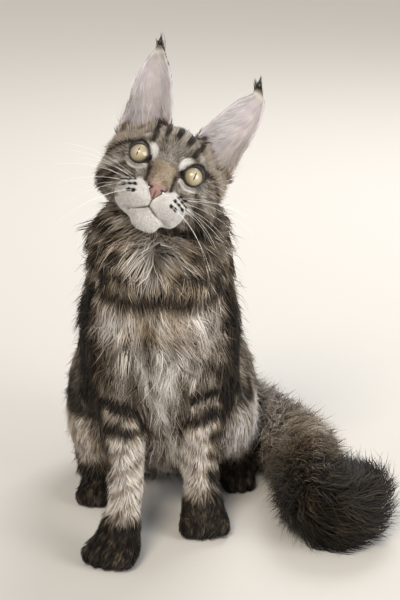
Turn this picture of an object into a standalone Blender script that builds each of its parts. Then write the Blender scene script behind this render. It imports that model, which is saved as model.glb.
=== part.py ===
"""A Maine Coon cat that sits upright with its head cocked, life size, as a still model in separate solids.

Each solid is the outer shape of the coat. Metres, +Z up, the cat faces -Y, and its left side is +X.
The masses are written in millimetres from a point on the floor under the middle of the body.
"""
import math

import bmesh
import bpy
from mathutils import Matrix, Vector

MM = 0.001
GAP = 0.3 * MM

# The pose of the head: the point midway between the eyes, how far it looks up, and how far it is cocked.
EYES_MIDDLE = Vector((9, -110, 377)) * MM
HEAD_RISE = 26
SIGHT_RISE = 18
HEAD_COCK = 24

# Sizes of the head, from a young cat whose eyes are 50 mm apart.
EYE_SPACING = 50
EYE_RADIUS = 11.2
EYE_DEPTH = 10.6
LID_RING = 13.0
LID_THICKNESS = 3.1
EYE_TURN = 14

EAR_WALL = 2.6
LEFT, RIGHT = 1, -1
TUFT_BEND = {LEFT: -7, RIGHT: 5}

# Grain of the fitted surfaces, and the number of triangles that each keeps before it is parted.
HEAD_GRAIN, BODY_GRAIN, TAIL_GRAIN = 1.7, 2.6, 3.4
HEAD_TRIANGLES, BODY_TRIANGLES, TAIL_TRIANGLES = 1350, 2500, 560

# Head sizes are written for a level head, from the point midway between the eyes: x left, y back, z up.
SKULL_MASSES = {
    "cranium": ((0, 46, 9), (42, 43, 37)),
    "back_of_head": ((0, 66, -8), (44, 34, 40)),
    "jaw": ((0, 32, -30), (38, 36, 25)),
}
PAIRED_SKULL_MASSES = {
    "cheek": ((36, 38, -21), (26.5, 30, 27)),
    "temple": ((37, 38, 2), (23.5, 24, 24)),
    "ear_root": ((35, 46, 24), (21, 22, 20)),
    "ear_base": ((44, 54, 6), (16, 18, 20)),
}
FACE_MASSES = {
    "forehead": ((0, 21, 20), (25, 20, 22)),
    "nose_root": ((0, 8, 2), (13.5, 14, 20)),
    "muzzle_root": ((0, 6, -34), (27, 30, 25)),
    "chin": ((0, -10, -50), (14, 14, 12.5)),
    "nose": ((0, -25.5, -30), (10.5, 8, 7.5)),
    "philtrum": ((0, -19, -42), (9, 10, 9)),
}
PAIRED_FACE_MASSES = {
    "brow": ((19, 14, 17), (15, 12, 9)),
    "orbit": ((27, 22, 0), (19, 14, 18)),
    "eye_corner": ((15, 13, -11), (10, 11, 10)),
    "cheek_bone": ((30, 18, -20), (15, 15, 13)),
    "whisker_pad": ((13.5, -14, -37), (15.5, 18, 13.5)),
    "pad_corner": ((23, -1, -38), (12, 15, 13)),
}
NOSE_BRIDGE = [((0, 3, 2), (11, 10, 10)), ((0, -12, -14), (9.5, 9, 9)), ((0, -24.5, -26), (8.5, 7, 6.5))]

# The body as runs of ovals, each run from the head downwards, with the half widths of the coat.
BODY_RUNS = {
    "back": [
        ((4, -30, 298), (63, 42, 40)),
        ((2, -2, 258), (64, 46, 50)),
        ((0, 34, 200), (71, 68, 70)),
        ((0, 80, 134), (77, 80, 80)),
        ((0, 112, 82), (85, 76, 84)),
    ],
    "front": [
        ((2, -58, 306), (69, 46, 40)),
        ((1, -60, 264), (74, 56, 50)),
        ((0, -44, 204), (75, 66, 66)),
        ((0, -26, 140), (62, 58, 60)),
    ],
    "apron": [((4, -52, 130), (34, 32, 40)), ((5, -34, 74), (20, 24, 34))],
    "belly": [((0, -26, 140), (58, 50, 56)), ((0, 60, 76), (66, 70, 66))],
}
PAIRED_BODY_RUNS = {
    "shoulder": [((44, -26, 196), (37, 50, 60)), ((50, -30, 150), (31, 38, 44))],
    "thigh": [((58, 84, 90), (42, 64, 72)), ((66, 26, 84), (32, 44, 54))],
}

# Each leg from the body down, as joints and the half width of its coat there.
LEG_RUNS = {
    "foreleg_left": [((43, -36, 150), 31), ((41, -50, 100), 23), ((40, -62, 52), 20), ((42, -74, 26), 18)],
    "foreleg_right": [((-42, -44, 150), 30), ((-33, -80, 100), 22), ((-31, -118, 52), 19.5), ((-38, -134, 26), 18)],
    "hindleg_left": [((72, 40, 70), 28), ((75, 92, 30), 22), ((76, 60, 18), 17), ((76, 36, 18), 16)],
    "hindleg_right": [((-72, 40, 70), 28), ((-72, 88, 30), 22), ((-68, 40, 18), 17), ((-66, 8, 18), 16)],
}

# Each paw: its middle on the floor, how far it is turned outwards, and its half width, half length and height.
PAWS = {
    "forepaw_left": ((43, -78), 4, (23, 26, 30)),
    "forepaw_right": ((-43, -142), -26, (24.5, 28, 31)),
    "hindpaw_left": ((76, 34), 10, (18.5, 26, 27)),
    "hindpaw_right": ((-65, 0), -14, (19, 28, 27)),
}

# The tail's middle line, from the rump round to the tip, with the half width of its brush.
TAIL_LINE = [
    ((0, 130, 46), 30),
    ((30, 168, 40), 35),
    ((76, 157, 38), 37),
    ((113, 116, 37), 37.5),
    ((138, 58, 37), 38),
    ((147, 0, 37), 38),
    ((149, -58, 36), 37),
    ((158, -98, 35), 34),
    ((180, -110, 35), 32),
    ((198, -88, 38), 31),
    ((203, -64, 46), 29),
]
# Boxes that part the tail into lengths, by their lower and upper corners. What is left is the length before the tip.
TAIL_CUTS = {
    "tail_base": ((-60, 98, -30), (260, 260, 160)),
    "tail_middle": ((60, 20, -30), (260, 140, 160)),
    "tail_tip": ((181, -180, -30), (280, -32, 160)),
}

COATS = {
    "agouti": (0.34, 0.29, 0.23),
    "black": (0.05, 0.04, 0.035),
    "pale": (0.62, 0.57, 0.50),
    "ear": (0.60, 0.52, 0.50),
    "eye": (0.55, 0.50, 0.34),
}


def clear_scene():
    for old in list(bpy.data.objects):
        bpy.data.objects.remove(old)


def head_turn():
    """Turns head sizes, written for a level head, into the pose."""
    rise = Matrix.Rotation(math.radians(-HEAD_RISE), 4, "X")
    sight = Vector((0, -math.cos(math.radians(SIGHT_RISE)), math.sin(math.radians(SIGHT_RISE))))
    cock = Matrix.Rotation(math.radians(-HEAD_COCK), 4, sight)
    return Matrix.Translation(EYES_MIDDLE) @ cock @ rise @ Matrix.Scale(MM, 4)


def body_place():
    return Matrix.Scale(MM, 4)


def ball(bm, place, centre, radii, detail=3):
    """An oval of three half widths at a centre."""
    shape = place @ Matrix.Translation(centre) @ Matrix.Diagonal((*radii, 1))
    bmesh.ops.create_icosphere(bm, subdivisions=detail, radius=1, matrix=shape)


def run(bm, place, stations, detail=3):
    """A tapering length of flesh: each stretch is the hull of the ovals at its two ends."""
    for start, end in zip(stations, stations[1:]):
        stretch = bmesh.new()
        for centre, radii in (start, end):
            ball(stretch, place, centre, radii, detail)
        hull = bmesh.ops.convex_hull(stretch, input=stretch.verts)
        bmesh.ops.delete(stretch, geom=hull["geom_interior"], context="VERTS")
        mesh = bpy.data.meshes.new("stretch")
        stretch.to_mesh(mesh)
        stretch.free()
        bm.from_mesh(mesh)
        bpy.data.meshes.remove(mesh)


def mirrored(centre, radii, side):
    x, y, z = centre
    return (side * x, y, z), radii


def settled(obj):
    """Fixes an object's modifiers into its mesh."""
    bpy.context.view_layer.update()
    graph = bpy.context.evaluated_depsgraph_get()
    mesh = bpy.data.meshes.new_from_object(obj.evaluated_get(graph))
    obj.modifiers.clear()
    old = obj.data
    obj.data = mesh
    bpy.data.meshes.remove(old)
    return obj


def object_of(name, bm):
    mesh = bpy.data.meshes.new(name)
    bm.to_mesh(mesh)
    bm.free()
    obj = bpy.data.objects.new(name, mesh)
    bpy.context.scene.collection.objects.link(obj)
    return obj


def wrapped(obj, grain):
    """One closed skin round an object's overlapping masses."""
    wrap = obj.modifiers.new("wrap", "REMESH")
    wrap.mode = "VOXEL"
    wrap.voxel_size = grain * MM
    return settled(obj)


def swollen(obj, distance):
    """Moves the surface outwards, or inwards where the distance is less than zero."""
    swell = obj.modifiers.new("swell", "DISPLACE")
    swell.strength = distance
    swell.mid_level = 0
    return settled(obj)


def fitted(name, bm, grain, fillet, rounds):
    """Joins overlapping masses, fills the creases between them to a radius, and smooths the whole."""
    obj = wrapped(object_of(name, bm), grain)
    if fillet:
        wrapped(swollen(obj, fillet * MM), grain)
        wrapped(swollen(obj, -fillet * MM), grain)
    soften = obj.modifiers.new("soften", "SMOOTH")
    soften.factor = 0.5
    soften.iterations = rounds
    return settled(obj)


def thinned(obj, triangles):
    """Thins a surface to about this many triangles, fewest where it is nearly flat."""
    thin = obj.modifiers.new("thin", "DECIMATE")
    thin.ratio = triangles / sum(len(face.vertices) - 2 for face in obj.data.polygons)
    return settled(obj)


def added_to(obj):
    """A new bmesh that starts with an object's surface, and removes the object."""
    bm = bmesh.new()
    bm.from_mesh(obj.data)
    removed(obj)
    return bm


def twin(obj, grow=GAP):
    """A copy of an object, grown all round by a gap, to cut its neighbours with."""
    copy = bpy.data.objects.new(obj.name + "_cutter", obj.data.copy())
    bpy.context.scene.collection.objects.link(copy)
    return swollen(copy, grow)


def combined(obj, cutter, operation):
    step = obj.modifiers.new("combine", "BOOLEAN")
    step.operation = operation
    step.object = cutter
    return settled(obj)


def largest_piece(obj):
    """Keeps the largest of the separate bodies in a mesh."""
    bm = bmesh.new()
    bm.from_mesh(obj.data)
    bmesh.ops.remove_doubles(bm, verts=bm.verts, dist=0.001 * MM)
    left = set(bm.verts)
    islands = []
    while left:
        todo = [left.pop()]
        island = set(todo)
        while todo:
            for edge in todo.pop().link_edges:
                for vert in edge.verts:
                    if vert in left:
                        left.discard(vert)
                        island.add(vert)
                        todo.append(vert)
        islands.append(island)
    islands.sort(key=len)
    for island in islands[:-1]:
        bmesh.ops.delete(bm, geom=list(island), context="VERTS")
    bm.to_mesh(obj.data)
    bm.free()
    return obj


def removed(obj):
    mesh = obj.data
    bpy.data.objects.remove(obj)
    bpy.data.meshes.remove(mesh)


def cut_by(obj, neighbour):
    """Takes a neighbour, and the gap round it, out of an object."""
    cutter = twin(neighbour)
    combined(obj, cutter, "DIFFERENCE")
    removed(cutter)
    return largest_piece(obj)


def box_object(name, low, high, turn=None):
    """A closed box between two corners, in millimetres, turned about its middle."""
    low, high = Vector(low), Vector(high)
    middle = (low + high) / 2
    bm = bmesh.new()
    shape = Matrix.Translation(middle * MM) @ (turn or Matrix.Identity(4)) @ Matrix.Diagonal((*(high - low) * MM, 1))
    bmesh.ops.create_cube(bm, size=1, matrix=shape)
    return object_of(name, bm)


def stood_on_floor(obj):
    """Cuts off what is under the floor, which leaves a flat to stand on."""
    below = box_object("below", (-600, -600, -300), (600, 600, 0))
    combined(obj, below, "DIFFERENCE")
    removed(below)
    return obj


def parted(rest, name, cutter):
    """Takes the part of rest inside a cutter as a new solid, and leaves a gap between the two."""
    part = bpy.data.objects.new(name, rest.data.copy())
    bpy.context.scene.collection.objects.link(part)
    combined(part, cutter, "INTERSECT")
    largest_piece(part)
    wider = twin(cutter)
    combined(rest, wider, "DIFFERENCE")
    largest_piece(rest)
    removed(wider)
    removed(cutter)
    return part


def eye_place(side):
    """An eye's own axes: its middle, turned a little outwards."""
    middle = Vector((side * EYE_SPACING / 2, EYE_DEPTH, 0))
    return head_turn() @ Matrix.Translation(middle) @ Matrix.Rotation(math.radians(side * EYE_TURN), 4, "Z")


def make_eye(name, side):
    bm = bmesh.new()
    bmesh.ops.create_uvsphere(bm, u_segments=12, v_segments=8, radius=EYE_RADIUS, matrix=eye_place(side))
    return object_of(name, bm)


def lid_ring(bm, side):
    """The rim of the lids, as a ring of small balls round the eye."""
    place = eye_place(side)
    for step in range(16):
        angle = math.tau * step / 16
        centre = (LID_RING * math.cos(angle), -3.2, 0.96 * LID_RING * math.sin(angle))
        ball(bm, place, centre, (LID_THICKNESS,) * 3, detail=1)


def make_head():
    place = head_turn()
    bm = bmesh.new()
    for mass in SKULL_MASSES.values():
        ball(bm, place, *mass)
    for mass in PAIRED_SKULL_MASSES.values():
        for side in (LEFT, RIGHT):
            ball(bm, place, *mirrored(*mass, side))
    bm = added_to(fitted("skull", bm, 2.2, 12, 10))
    for mass in FACE_MASSES.values():
        ball(bm, place, *mass)
    for mass in PAIRED_FACE_MASSES.values():
        for side in (LEFT, RIGHT):
            ball(bm, place, *mirrored(*mass, side))
    run(bm, place, NOSE_BRIDGE)
    bm = added_to(fitted("face", bm, HEAD_GRAIN, 3, 4))
    for side in (LEFT, RIGHT):
        lid_ring(bm, side)
    return thinned(fitted("head", bm, 1.5, 0, 3), HEAD_TRIANGLES)


def along(points, share):
    """A point on the smooth line through a few points, at a share of the way."""
    reach = share * (len(points) - 1)
    index = min(int(reach), len(points) - 2)
    t = reach - index
    a = points[max(index - 1, 0)]
    b, c = points[index], points[index + 1]
    d = points[min(index + 2, len(points) - 1)]
    return 0.5 * ((2 * b) + (c - a) * t + (2 * a - 5 * b + 4 * c - d) * t**2 + (3 * b - a - 3 * c + d) * t**3)


def ear_point(up, across):
    """A point of the left ear's cup: up from root to tip, across from the inner edge to the outer one."""
    inner = [Vector(p) for p in ((9, 36, 20), (13, 34, 42), (22, 34, 64), (34, 38, 88), (46, 43, 105), (51, 47, 120))]
    outer = [Vector(p) for p in ((52, 60, -4), (57, 56, 20), (58, 51, 48), (56, 48, 78), (51, 46, 105), (52, 47, 120))]
    edge_to_edge = along(inner, up).lerp(along(outer, up), across)
    cup = 34 * max(1 - up / 0.85, 0) ** 0.8 * math.sin(math.pi * across) ** 0.75
    return edge_to_edge + Vector((0, cup, 0))


def make_ear(name, side):
    rows, columns = 8, 5
    bm = bmesh.new()
    grid = bmesh.ops.create_grid(bm, x_segments=columns, y_segments=rows, size=0.5)["verts"]
    turn = head_turn()
    for vert in grid:
        up = vert.co.y + 0.5
        point = ear_point(up, vert.co.x + 0.5)
        bend = TUFT_BEND[side] * max(up - 0.75, 0) / 0.25
        vert.co = turn @ Vector((side * (point.x + bend), point.y, point.z))
    if side == RIGHT:
        bmesh.ops.reverse_faces(bm, faces=bm.faces)
    ear = object_of(name, bm)
    wall = ear.modifiers.new("wall", "SOLIDIFY")
    wall.thickness = EAR_WALL * MM
    wall.offset = 0
    return settled(ear)


def paw_masses(bm, middle, turn, sizes):
    """A paw: a low pad with four toes across its front, the middle pair foremost."""
    half_width, half_length, height = sizes
    place = body_place() @ Matrix.Translation((*middle, 0)) @ Matrix.Rotation(math.radians(turn), 4, "Z")
    ball(bm, place, (0, 6, 0.45 * height), (0.9 * half_width, 0.8 * half_length, 0.6 * height))
    ball(bm, place, (0, 10, 0.85 * height), (0.74 * half_width, 0.62 * half_length, 0.55 * height))
    toe = 0.33 * half_width
    for number in range(4):
        across = (number - 1.5) / 1.5
        front = -0.6 * half_length + 5 * across**2
        centre = (across * (half_width - toe), front, 0.34 * height)
        ball(bm, place, centre, (toe, 0.44 * half_length, 0.46 * height))


def make_body():
    """The body with its legs and paws in one, standing on the floor."""
    place = body_place()
    bm = bmesh.new()
    for stations in BODY_RUNS.values():
        run(bm, place, stations)
    for stations in PAIRED_BODY_RUNS.values():
        for side in (LEFT, RIGHT):
            run(bm, place, [mirrored(*station, side) for station in stations])
    bm = added_to(fitted("torso", bm, 3.4, 15, 12))
    for joints in LEG_RUNS.values():
        run(bm, place, [(centre, (radius,) * 3) for centre, radius in joints])
    bm = added_to(fitted("legged", bm, BODY_GRAIN, 6, 6))
    for facts in PAWS.values():
        paw_masses(bm, *facts)
    body = fitted("trunk", bm, 1.9, 0, 4)
    return stood_on_floor(thinned(body, BODY_TRIANGLES))


def make_tail():
    """The brush of the tail along its line, which starts inside the rump and lies on the floor."""
    steps = 3 * (len(TAIL_LINE) - 1)
    middles = [Vector(middle) for middle, _ in TAIL_LINE]
    radii = [Vector((radius, 0, 0)) for _, radius in TAIL_LINE]
    stations = []
    for step in range(steps + 1):
        radius = along(radii, step / steps).x
        stations.append((along(middles, step / steps), (radius,) * 3))
    bm = bmesh.new()
    run(bm, body_place(), stations)
    return stood_on_floor(thinned(fitted("tail_end", bm, TAIL_GRAIN, 8, 8), TAIL_TRIANGLES))


def neck_cutter():
    """All that lies above a sloping cut between the withers and the front of the chest."""
    slope = Matrix.Rotation(math.radians(20), 4, "X")
    return box_object("neck_cutter", (-200, -230, 246), (200, 190, 546), slope)


def foreleg_cutter(side):
    """The foreleg below the chest, from the cut above the elbow down to the paw."""
    low = (15 if side == LEFT else -92, -220, -40)
    high = (92 if side == LEFT else -9, -8, 142)
    return box_object("foreleg_cutter", low, high, Matrix.Rotation(math.radians(-8), 4, "X"))


def hindleg_cutter(side):
    """The thigh with the foot under it, as an upright oval that meets the side of the trunk."""
    bm = bmesh.new()
    ball(bm, body_place(), (side * 86, 66, 74), (50, 98, 88), detail=4)
    ball(bm, body_place(), (side * 82, 56, 8), (38, 96, 46), detail=4)
    return thinned(fitted("hindleg_cutter", bm, 4.0, 10, 4), 400)


def paw_cutter(middle, turn, sizes):
    """A box round a paw up to the wrist or the ankle."""
    half_width, half_length, height = sizes
    low = (middle[0] - 1.15 * half_width, middle[1] - 2.0 * half_length, -20)
    high = (middle[0] + 1.15 * half_width, middle[1] + 1.15 * half_length, 1.25 * height)
    return box_object("paw_cutter", low, high, Matrix.Rotation(math.radians(turn), 4, "Z"))


def paint(obj, coat):
    material = bpy.data.materials.get(coat)
    if material is None:
        material = bpy.data.materials.new(coat)
        material.use_nodes = True
        shader = material.node_tree.nodes["Principled BSDF"]
        shader.inputs["Base Color"].default_value = (*COATS[coat], 1)
        shader.inputs["Roughness"].default_value = 0.15 if coat == "eye" else 0.85
        shader.inputs["Metallic"].default_value = 0
    obj.data.materials.clear()
    obj.data.materials.append(material)


def centred(objects):
    """Moves everything so that the origin is under the middle of the whole, on the floor."""
    corners = [vert.co for obj in objects for vert in obj.data.vertices]
    low = Vector(min(corner[axis] for corner in corners) for axis in range(3))
    high = Vector(max(corner[axis] for corner in corners) for axis in range(3))
    shift = Matrix.Translation((-(low.x + high.x) / 2, -(low.y + high.y) / 2, -low.z))
    for obj in objects:
        obj.data.transform(shift)
    print("moved by", [round(value / MM, 2) for value in shift.translation], "mm")


def main():
    clear_scene()
    head = make_head()
    eyes = [make_eye("eye_left", LEFT), make_eye("eye_right", RIGHT)]
    for eye in eyes:
        cut_by(head, eye)
    ears = [cut_by(make_ear("ear_left", LEFT), head), cut_by(make_ear("ear_right", RIGHT), head)]
    trunk = make_body()
    tail_end = cut_by(make_tail(), trunk)
    tail = [parted(tail_end, name, box_object("tail_cutter", *corners)) for name, corners in TAIL_CUTS.items()]
    paws = [parted(trunk, name, paw_cutter(*facts)) for name, facts in PAWS.items()]
    neck = parted(trunk, "neck", neck_cutter())
    legs = [
        parted(trunk, "hindleg_left", hindleg_cutter(LEFT)),
        parted(trunk, "hindleg_right", hindleg_cutter(RIGHT)),
        parted(trunk, "foreleg_left", foreleg_cutter(LEFT)),
        parted(trunk, "foreleg_right", foreleg_cutter(RIGHT)),
    ]
    for neighbour in [head, *ears]:
        cut_by(neck, neighbour)
    for obj in [head, neck, trunk, *legs, tail_end, *tail[:2]]:
        paint(obj, "agouti")
    for obj in [*paws, tail[2]]:
        paint(obj, "black")
    for obj in ears:
        paint(obj, "ear")
    for obj in eyes:
        paint(obj, "eye")
    solids = [head, neck, trunk, *legs, *paws, tail_end, *tail, *ears, *eyes]
    centred(solids)
    for obj in solids:
        obj.data.shade_smooth()
        print(obj.name, sum(len(face.vertices) - 2 for face in obj.data.polygons))
    print("triangles in all", sum(len(face.vertices) - 2 for obj in solids for face in obj.data.polygons))


main()
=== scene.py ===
# %% [markdown]
# # A sitting long-haired tabby cat, life size
# The real object is a still model of a young cat of a large long-haired breed. It sits upright with its head
# cocked, and the whole of it is covered in a coat that is short on the face and feet and long everywhere else.
# Blender has hair curves for this, but an exported part keeps only solid mesh. So the work goes in this order:
# one smooth skin with the folds of the face, eyes and nose set into it, and then some hundred thousand thin tufts
# that are grown over the skin, lie along the body and carry the same markings as the skin.

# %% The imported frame, and the tools that the lesson uses
import math

import bmesh
import bpy
import numpy as np
from mathutils import Matrix, Vector
from mathutils.bvhtree import BVHTree
from mathutils.kdtree import KDTree


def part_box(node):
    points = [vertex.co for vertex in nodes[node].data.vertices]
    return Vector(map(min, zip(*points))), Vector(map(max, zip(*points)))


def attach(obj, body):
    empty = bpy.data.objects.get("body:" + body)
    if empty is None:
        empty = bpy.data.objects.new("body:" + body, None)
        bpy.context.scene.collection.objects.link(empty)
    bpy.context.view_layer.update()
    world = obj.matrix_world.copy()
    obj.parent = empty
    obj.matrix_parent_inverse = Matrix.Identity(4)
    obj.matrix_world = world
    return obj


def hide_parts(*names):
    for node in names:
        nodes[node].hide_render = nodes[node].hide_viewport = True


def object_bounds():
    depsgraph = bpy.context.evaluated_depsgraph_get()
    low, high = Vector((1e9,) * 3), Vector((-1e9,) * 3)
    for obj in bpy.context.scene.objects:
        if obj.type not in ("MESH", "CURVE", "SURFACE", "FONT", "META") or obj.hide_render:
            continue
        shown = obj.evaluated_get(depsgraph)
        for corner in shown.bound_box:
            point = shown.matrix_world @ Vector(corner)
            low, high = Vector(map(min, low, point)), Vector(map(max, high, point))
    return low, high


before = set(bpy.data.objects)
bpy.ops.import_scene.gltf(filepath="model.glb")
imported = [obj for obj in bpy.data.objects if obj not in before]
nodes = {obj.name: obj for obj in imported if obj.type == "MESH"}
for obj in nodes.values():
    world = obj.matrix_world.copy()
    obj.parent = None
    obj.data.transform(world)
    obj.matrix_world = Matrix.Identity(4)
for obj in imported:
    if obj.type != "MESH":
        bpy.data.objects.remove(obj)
cad_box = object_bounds()
MM = 0.001
LEFT, RIGHT = 1, -1
print("nodes in the frame:", len(nodes))

# %% [markdown]
# ## Where the head is
# Every size on a head is easiest to write for a level head: x to the cat's left, y back, z up, in millimetres from
# the point midway between the eyes. The real head looks up and is cocked, so one set of axes turns those sizes into
# the pose. Fitting the axes to the two eyeballs of the frame keeps everything on the head that was packed.

# %% The axes of the head and of the body
HEAD_RISE, SIGHT_RISE, HEAD_COCK = 26, 18, 24
EYE_SPACING, EYE_RADIUS, EYE_DEPTH, EYE_TURN = 50, 11.2, 10.6, 14
EYES_ABOVE_FLOOR = Vector((9, -110, 377))


def box_middle(node):
    low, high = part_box(node)
    return (Vector(low) + Vector(high)) / 2


rise = Matrix.Rotation(math.radians(-HEAD_RISE), 3, "X")
sight_line = Vector((0, -math.cos(math.radians(SIGHT_RISE)), math.sin(math.radians(SIGHT_RISE))))
cock = Matrix.Rotation(math.radians(-HEAD_COCK), 3, sight_line)
head_axes = cock @ rise
between_eyes = (box_middle("eye_left") + box_middle("eye_right")) / 2 - head_axes @ Vector((0, EYE_DEPTH, 0)) * MM
body_origin = between_eyes - EYES_ABOVE_FLOOR * MM
HEAD_AXES = np.array(head_axes)
HEAD_ORIGIN = np.array(between_eyes)
BODY_ORIGIN = np.array(body_origin)


def to_head(points):
    """Points of the frame in the head's own millimetres."""
    return (points - HEAD_ORIGIN) @ HEAD_AXES / MM


def from_head(points):
    return HEAD_ORIGIN + (points * MM) @ HEAD_AXES.T


def to_body(points):
    """Points of the frame in millimetres from the floor under the cat's middle."""
    return (points - BODY_ORIGIN) / MM


def turned_out(side):
    """An eye looks a little outwards: the turn of its axes against the head's."""
    angle = math.radians(side * EYE_TURN)
    return np.array(((math.cos(angle), -math.sin(angle), 0), (math.sin(angle), math.cos(angle), 0), (0, 0, 1)))


def to_eye(head_points, side):
    """Head points in an eye's own axes, with x towards the ear on either side and y back into the head."""
    middle = np.array((side * EYE_SPACING / 2, EYE_DEPTH, 0))
    return (head_points - middle) @ turned_out(side) * np.array((side, 1, 1))


def from_eye(eye_points, side):
    middle = np.array((side * EYE_SPACING / 2, EYE_DEPTH, 0))
    return (eye_points * np.array((side, 1, 1))) @ turned_out(side).T + middle


print("between the eyes:", np.round(HEAD_ORIGIN, 4), "body origin:", np.round(BODY_ORIGIN, 4))

# %% [markdown]
# ## Small helpers
# Soft steps, bells and ripples are the brushes of this lesson: the sculpted folds, the lie of the coat and the
# markings are all written with them. A step goes from 0 to 1 between two values, a bell is 1 at one value and fades
# on both sides, and a ripple is a smooth noise made of a few waves in random directions.

# %% Soft steps, bells and ripples


def step(value, start, end):
    share = np.clip((value - start) / (end - start), 0, 1)
    return share * share * (3 - 2 * share)


def bell(value, middle, width):
    return np.exp(-(((value - middle) / width) ** 2))


def ripple(points, size, seed):
    """Smooth noise between about -1 and 1, with lumps of about this size."""
    dice = np.random.default_rng(seed)
    total = np.zeros(len(points))
    for _ in range(7):
        direction = dice.normal(size=3)
        direction /= np.linalg.norm(direction)
        wave = dice.uniform(1.6, 3.6) / size
        total += np.sin(points @ direction * wave + dice.uniform(0, math.tau))
    return total / 3.0


def unit(vectors):
    return vectors / np.maximum(np.linalg.norm(vectors, axis=-1, keepdims=True), 1e-9)


def line_distance(across, up, corners):
    """How far points are from a line through a few corners, all in one plane."""
    nearest = np.full(len(across), 1e9)
    for (ax, az), (bx, bz) in zip(corners, corners[1:]):
        dx, dz = bx - ax, bz - az
        share = np.clip(((across - ax) * dx + (up - az) * dz) / (dx * dx + dz * dz), 0, 1)
        nearest = np.minimum(nearest, np.hypot(across - ax - share * dx, up - az - share * dz))
    return nearest


# %% Reading a mesh into arrays and back


def positions(mesh):
    flat = np.empty(len(mesh.vertices) * 3, dtype=np.float32)
    mesh.vertices.foreach_get("co", flat)
    return flat.reshape(-1, 3).astype(float)


def normals(mesh):
    flat = np.empty(len(mesh.vertices) * 3, dtype=np.float32)
    mesh.vertices.foreach_get("normal", flat)
    return flat.reshape(-1, 3).astype(float)


def place(mesh, points):
    mesh.vertices.foreach_set("co", points.astype(np.float32).ravel())
    mesh.update()


def softened(points, mesh, rounds, weight=1.0):
    """Moves each point towards the average of its neighbours, a few times over."""
    flat = np.empty(len(mesh.edges) * 2, dtype=np.int32)
    mesh.edges.foreach_get("vertices", flat)
    first, second = flat.reshape(-1, 2).T
    count = len(points)
    neighbours = np.bincount(first, minlength=count) + np.bincount(second, minlength=count)
    result = points.copy()
    for _ in range(rounds):
        for column in range(points.shape[1]):
            total = np.bincount(first, result[second, column], count)
            total += np.bincount(second, result[first, column], count)
            average = total / np.maximum(neighbours, 1)
            result[:, column] += 0.5 * weight * (average - result[:, column])
    return result


def settled(obj):
    """Fixes an object's modifiers into its mesh."""
    bpy.context.view_layer.update()
    graph = bpy.context.evaluated_depsgraph_get()
    mesh = bpy.data.meshes.new_from_object(obj.evaluated_get(graph))
    obj.modifiers.clear()
    old = obj.data
    obj.data = mesh
    bpy.data.meshes.remove(old)
    return obj


def object_of(name, bm):
    mesh = bpy.data.meshes.new(name)
    bm.to_mesh(mesh)
    bm.free()
    obj = bpy.data.objects.new(name, mesh)
    bpy.context.scene.collection.objects.link(obj)
    return obj


def wrapped(obj, grain):
    """One closed surface round everything in an object."""
    wrap = obj.modifiers.new("wrap", "REMESH")
    wrap.mode = "VOXEL"
    wrap.voxel_size = grain * MM
    return settled(obj)


# %% [markdown]
# ## The skin
# Under the coat is one skin without seams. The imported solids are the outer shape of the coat, so the skin is made
# from copies of them: they are swollen until they touch, wrapped together by a voxel remesh, smoothed, and then
# moved in by the depth of the coat at each place. The head is wrapped finer than the body, because its coat is
# short and its folds show. A Boolean joins the two, deep under the ruff.

# %% Copies of the frame's solids, swollen so that they touch
BODY_NODES = [
    "neck", "trunk", "hindleg_left", "hindleg_right", "foreleg_left", "foreleg_right", "forepaw_left",
    "forepaw_right", "hindpaw_left", "hindpaw_right", "tail_base", "tail_middle", "tail_end", "tail_tip",
]
HEAD_NODES = ["head", "ear_left", "ear_right", "eye_left", "eye_right"]
FLESH_NODES = BODY_NODES + HEAD_NODES[:3]
EAR_TIP = 110
BODY_GRAIN, HEAD_GRAIN = 3.4, 1.5


def copy_into(bm, name, swell):
    """Adds a merged copy of a node to a bmesh, moved outwards everywhere by some millimetres."""
    copy = bmesh.new()
    copy.from_mesh(nodes[name].data)
    bmesh.ops.remove_doubles(copy, verts=copy.verts, dist=0.002 * MM)
    if name.startswith("ear"):
        cut = from_head(np.array((0, 0, EAR_TIP)))
        geometry = copy.verts[:] + copy.edges[:] + copy.faces[:]
        upwards = HEAD_AXES[:, 2]
        bmesh.ops.bisect_plane(copy, geom=geometry, plane_co=cut, plane_no=upwards, clear_outer=True)
        bmesh.ops.holes_fill(copy, edges=[edge for edge in copy.edges if edge.is_boundary])
    copy.normal_update()
    for vert in copy.verts:
        vert.co += vert.normal * swell * MM
    mesh = bpy.data.meshes.new("copy")
    copy.to_mesh(mesh)
    copy.free()
    bm.from_mesh(mesh)
    bpy.data.meshes.remove(mesh)


shell = bmesh.new()
for name in BODY_NODES:
    copy_into(shell, name, 0.45)
copy_into(shell, "head", -6.0)
body_skin = wrapped(object_of("body_skin", shell), BODY_GRAIN)
shell = bmesh.new()
for name in HEAD_NODES:
    copy_into(shell, name, 0.45)
head_skin = wrapped(object_of("skin", shell), HEAD_GRAIN)
print("faces of the body and the head as wrapped:", len(body_skin.data.polygons), len(head_skin.data.polygons))

# %% [markdown]
# Each point of the skin has to know which part of the cat it is on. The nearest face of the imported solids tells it,
# and averaging that answer over the neighbours turns hard borders into gradual ones, so that a long ruff fades into
# a short leg as it does on the animal.

# %% Which part of the cat a point is on, and the coat's facts there
PARTS = FLESH_NODES
node_corners, node_faces, face_parts = [], [], []
for number, name in enumerate(PARTS):
    mesh = nodes[name].data
    base = len(node_corners)
    node_corners += [vert.co.copy() for vert in mesh.vertices]
    node_faces += [[base + corner for corner in face.vertices] for face in mesh.polygons]
    face_parts += [number] * len(mesh.polygons)
solids = BVHTree.FromPolygons(node_corners, node_faces)


# Each foreleg shows through the chest's coat up to its elbow: a line from there to where its own node begins.
UPPER_LEGS = {
    "foreleg_left": ((49, -70, 172), (43, -66, 95)),
    "foreleg_right": ((-46, -78, 168), (-36, -92, 95)),
}
LEG_REACH = 23


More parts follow.
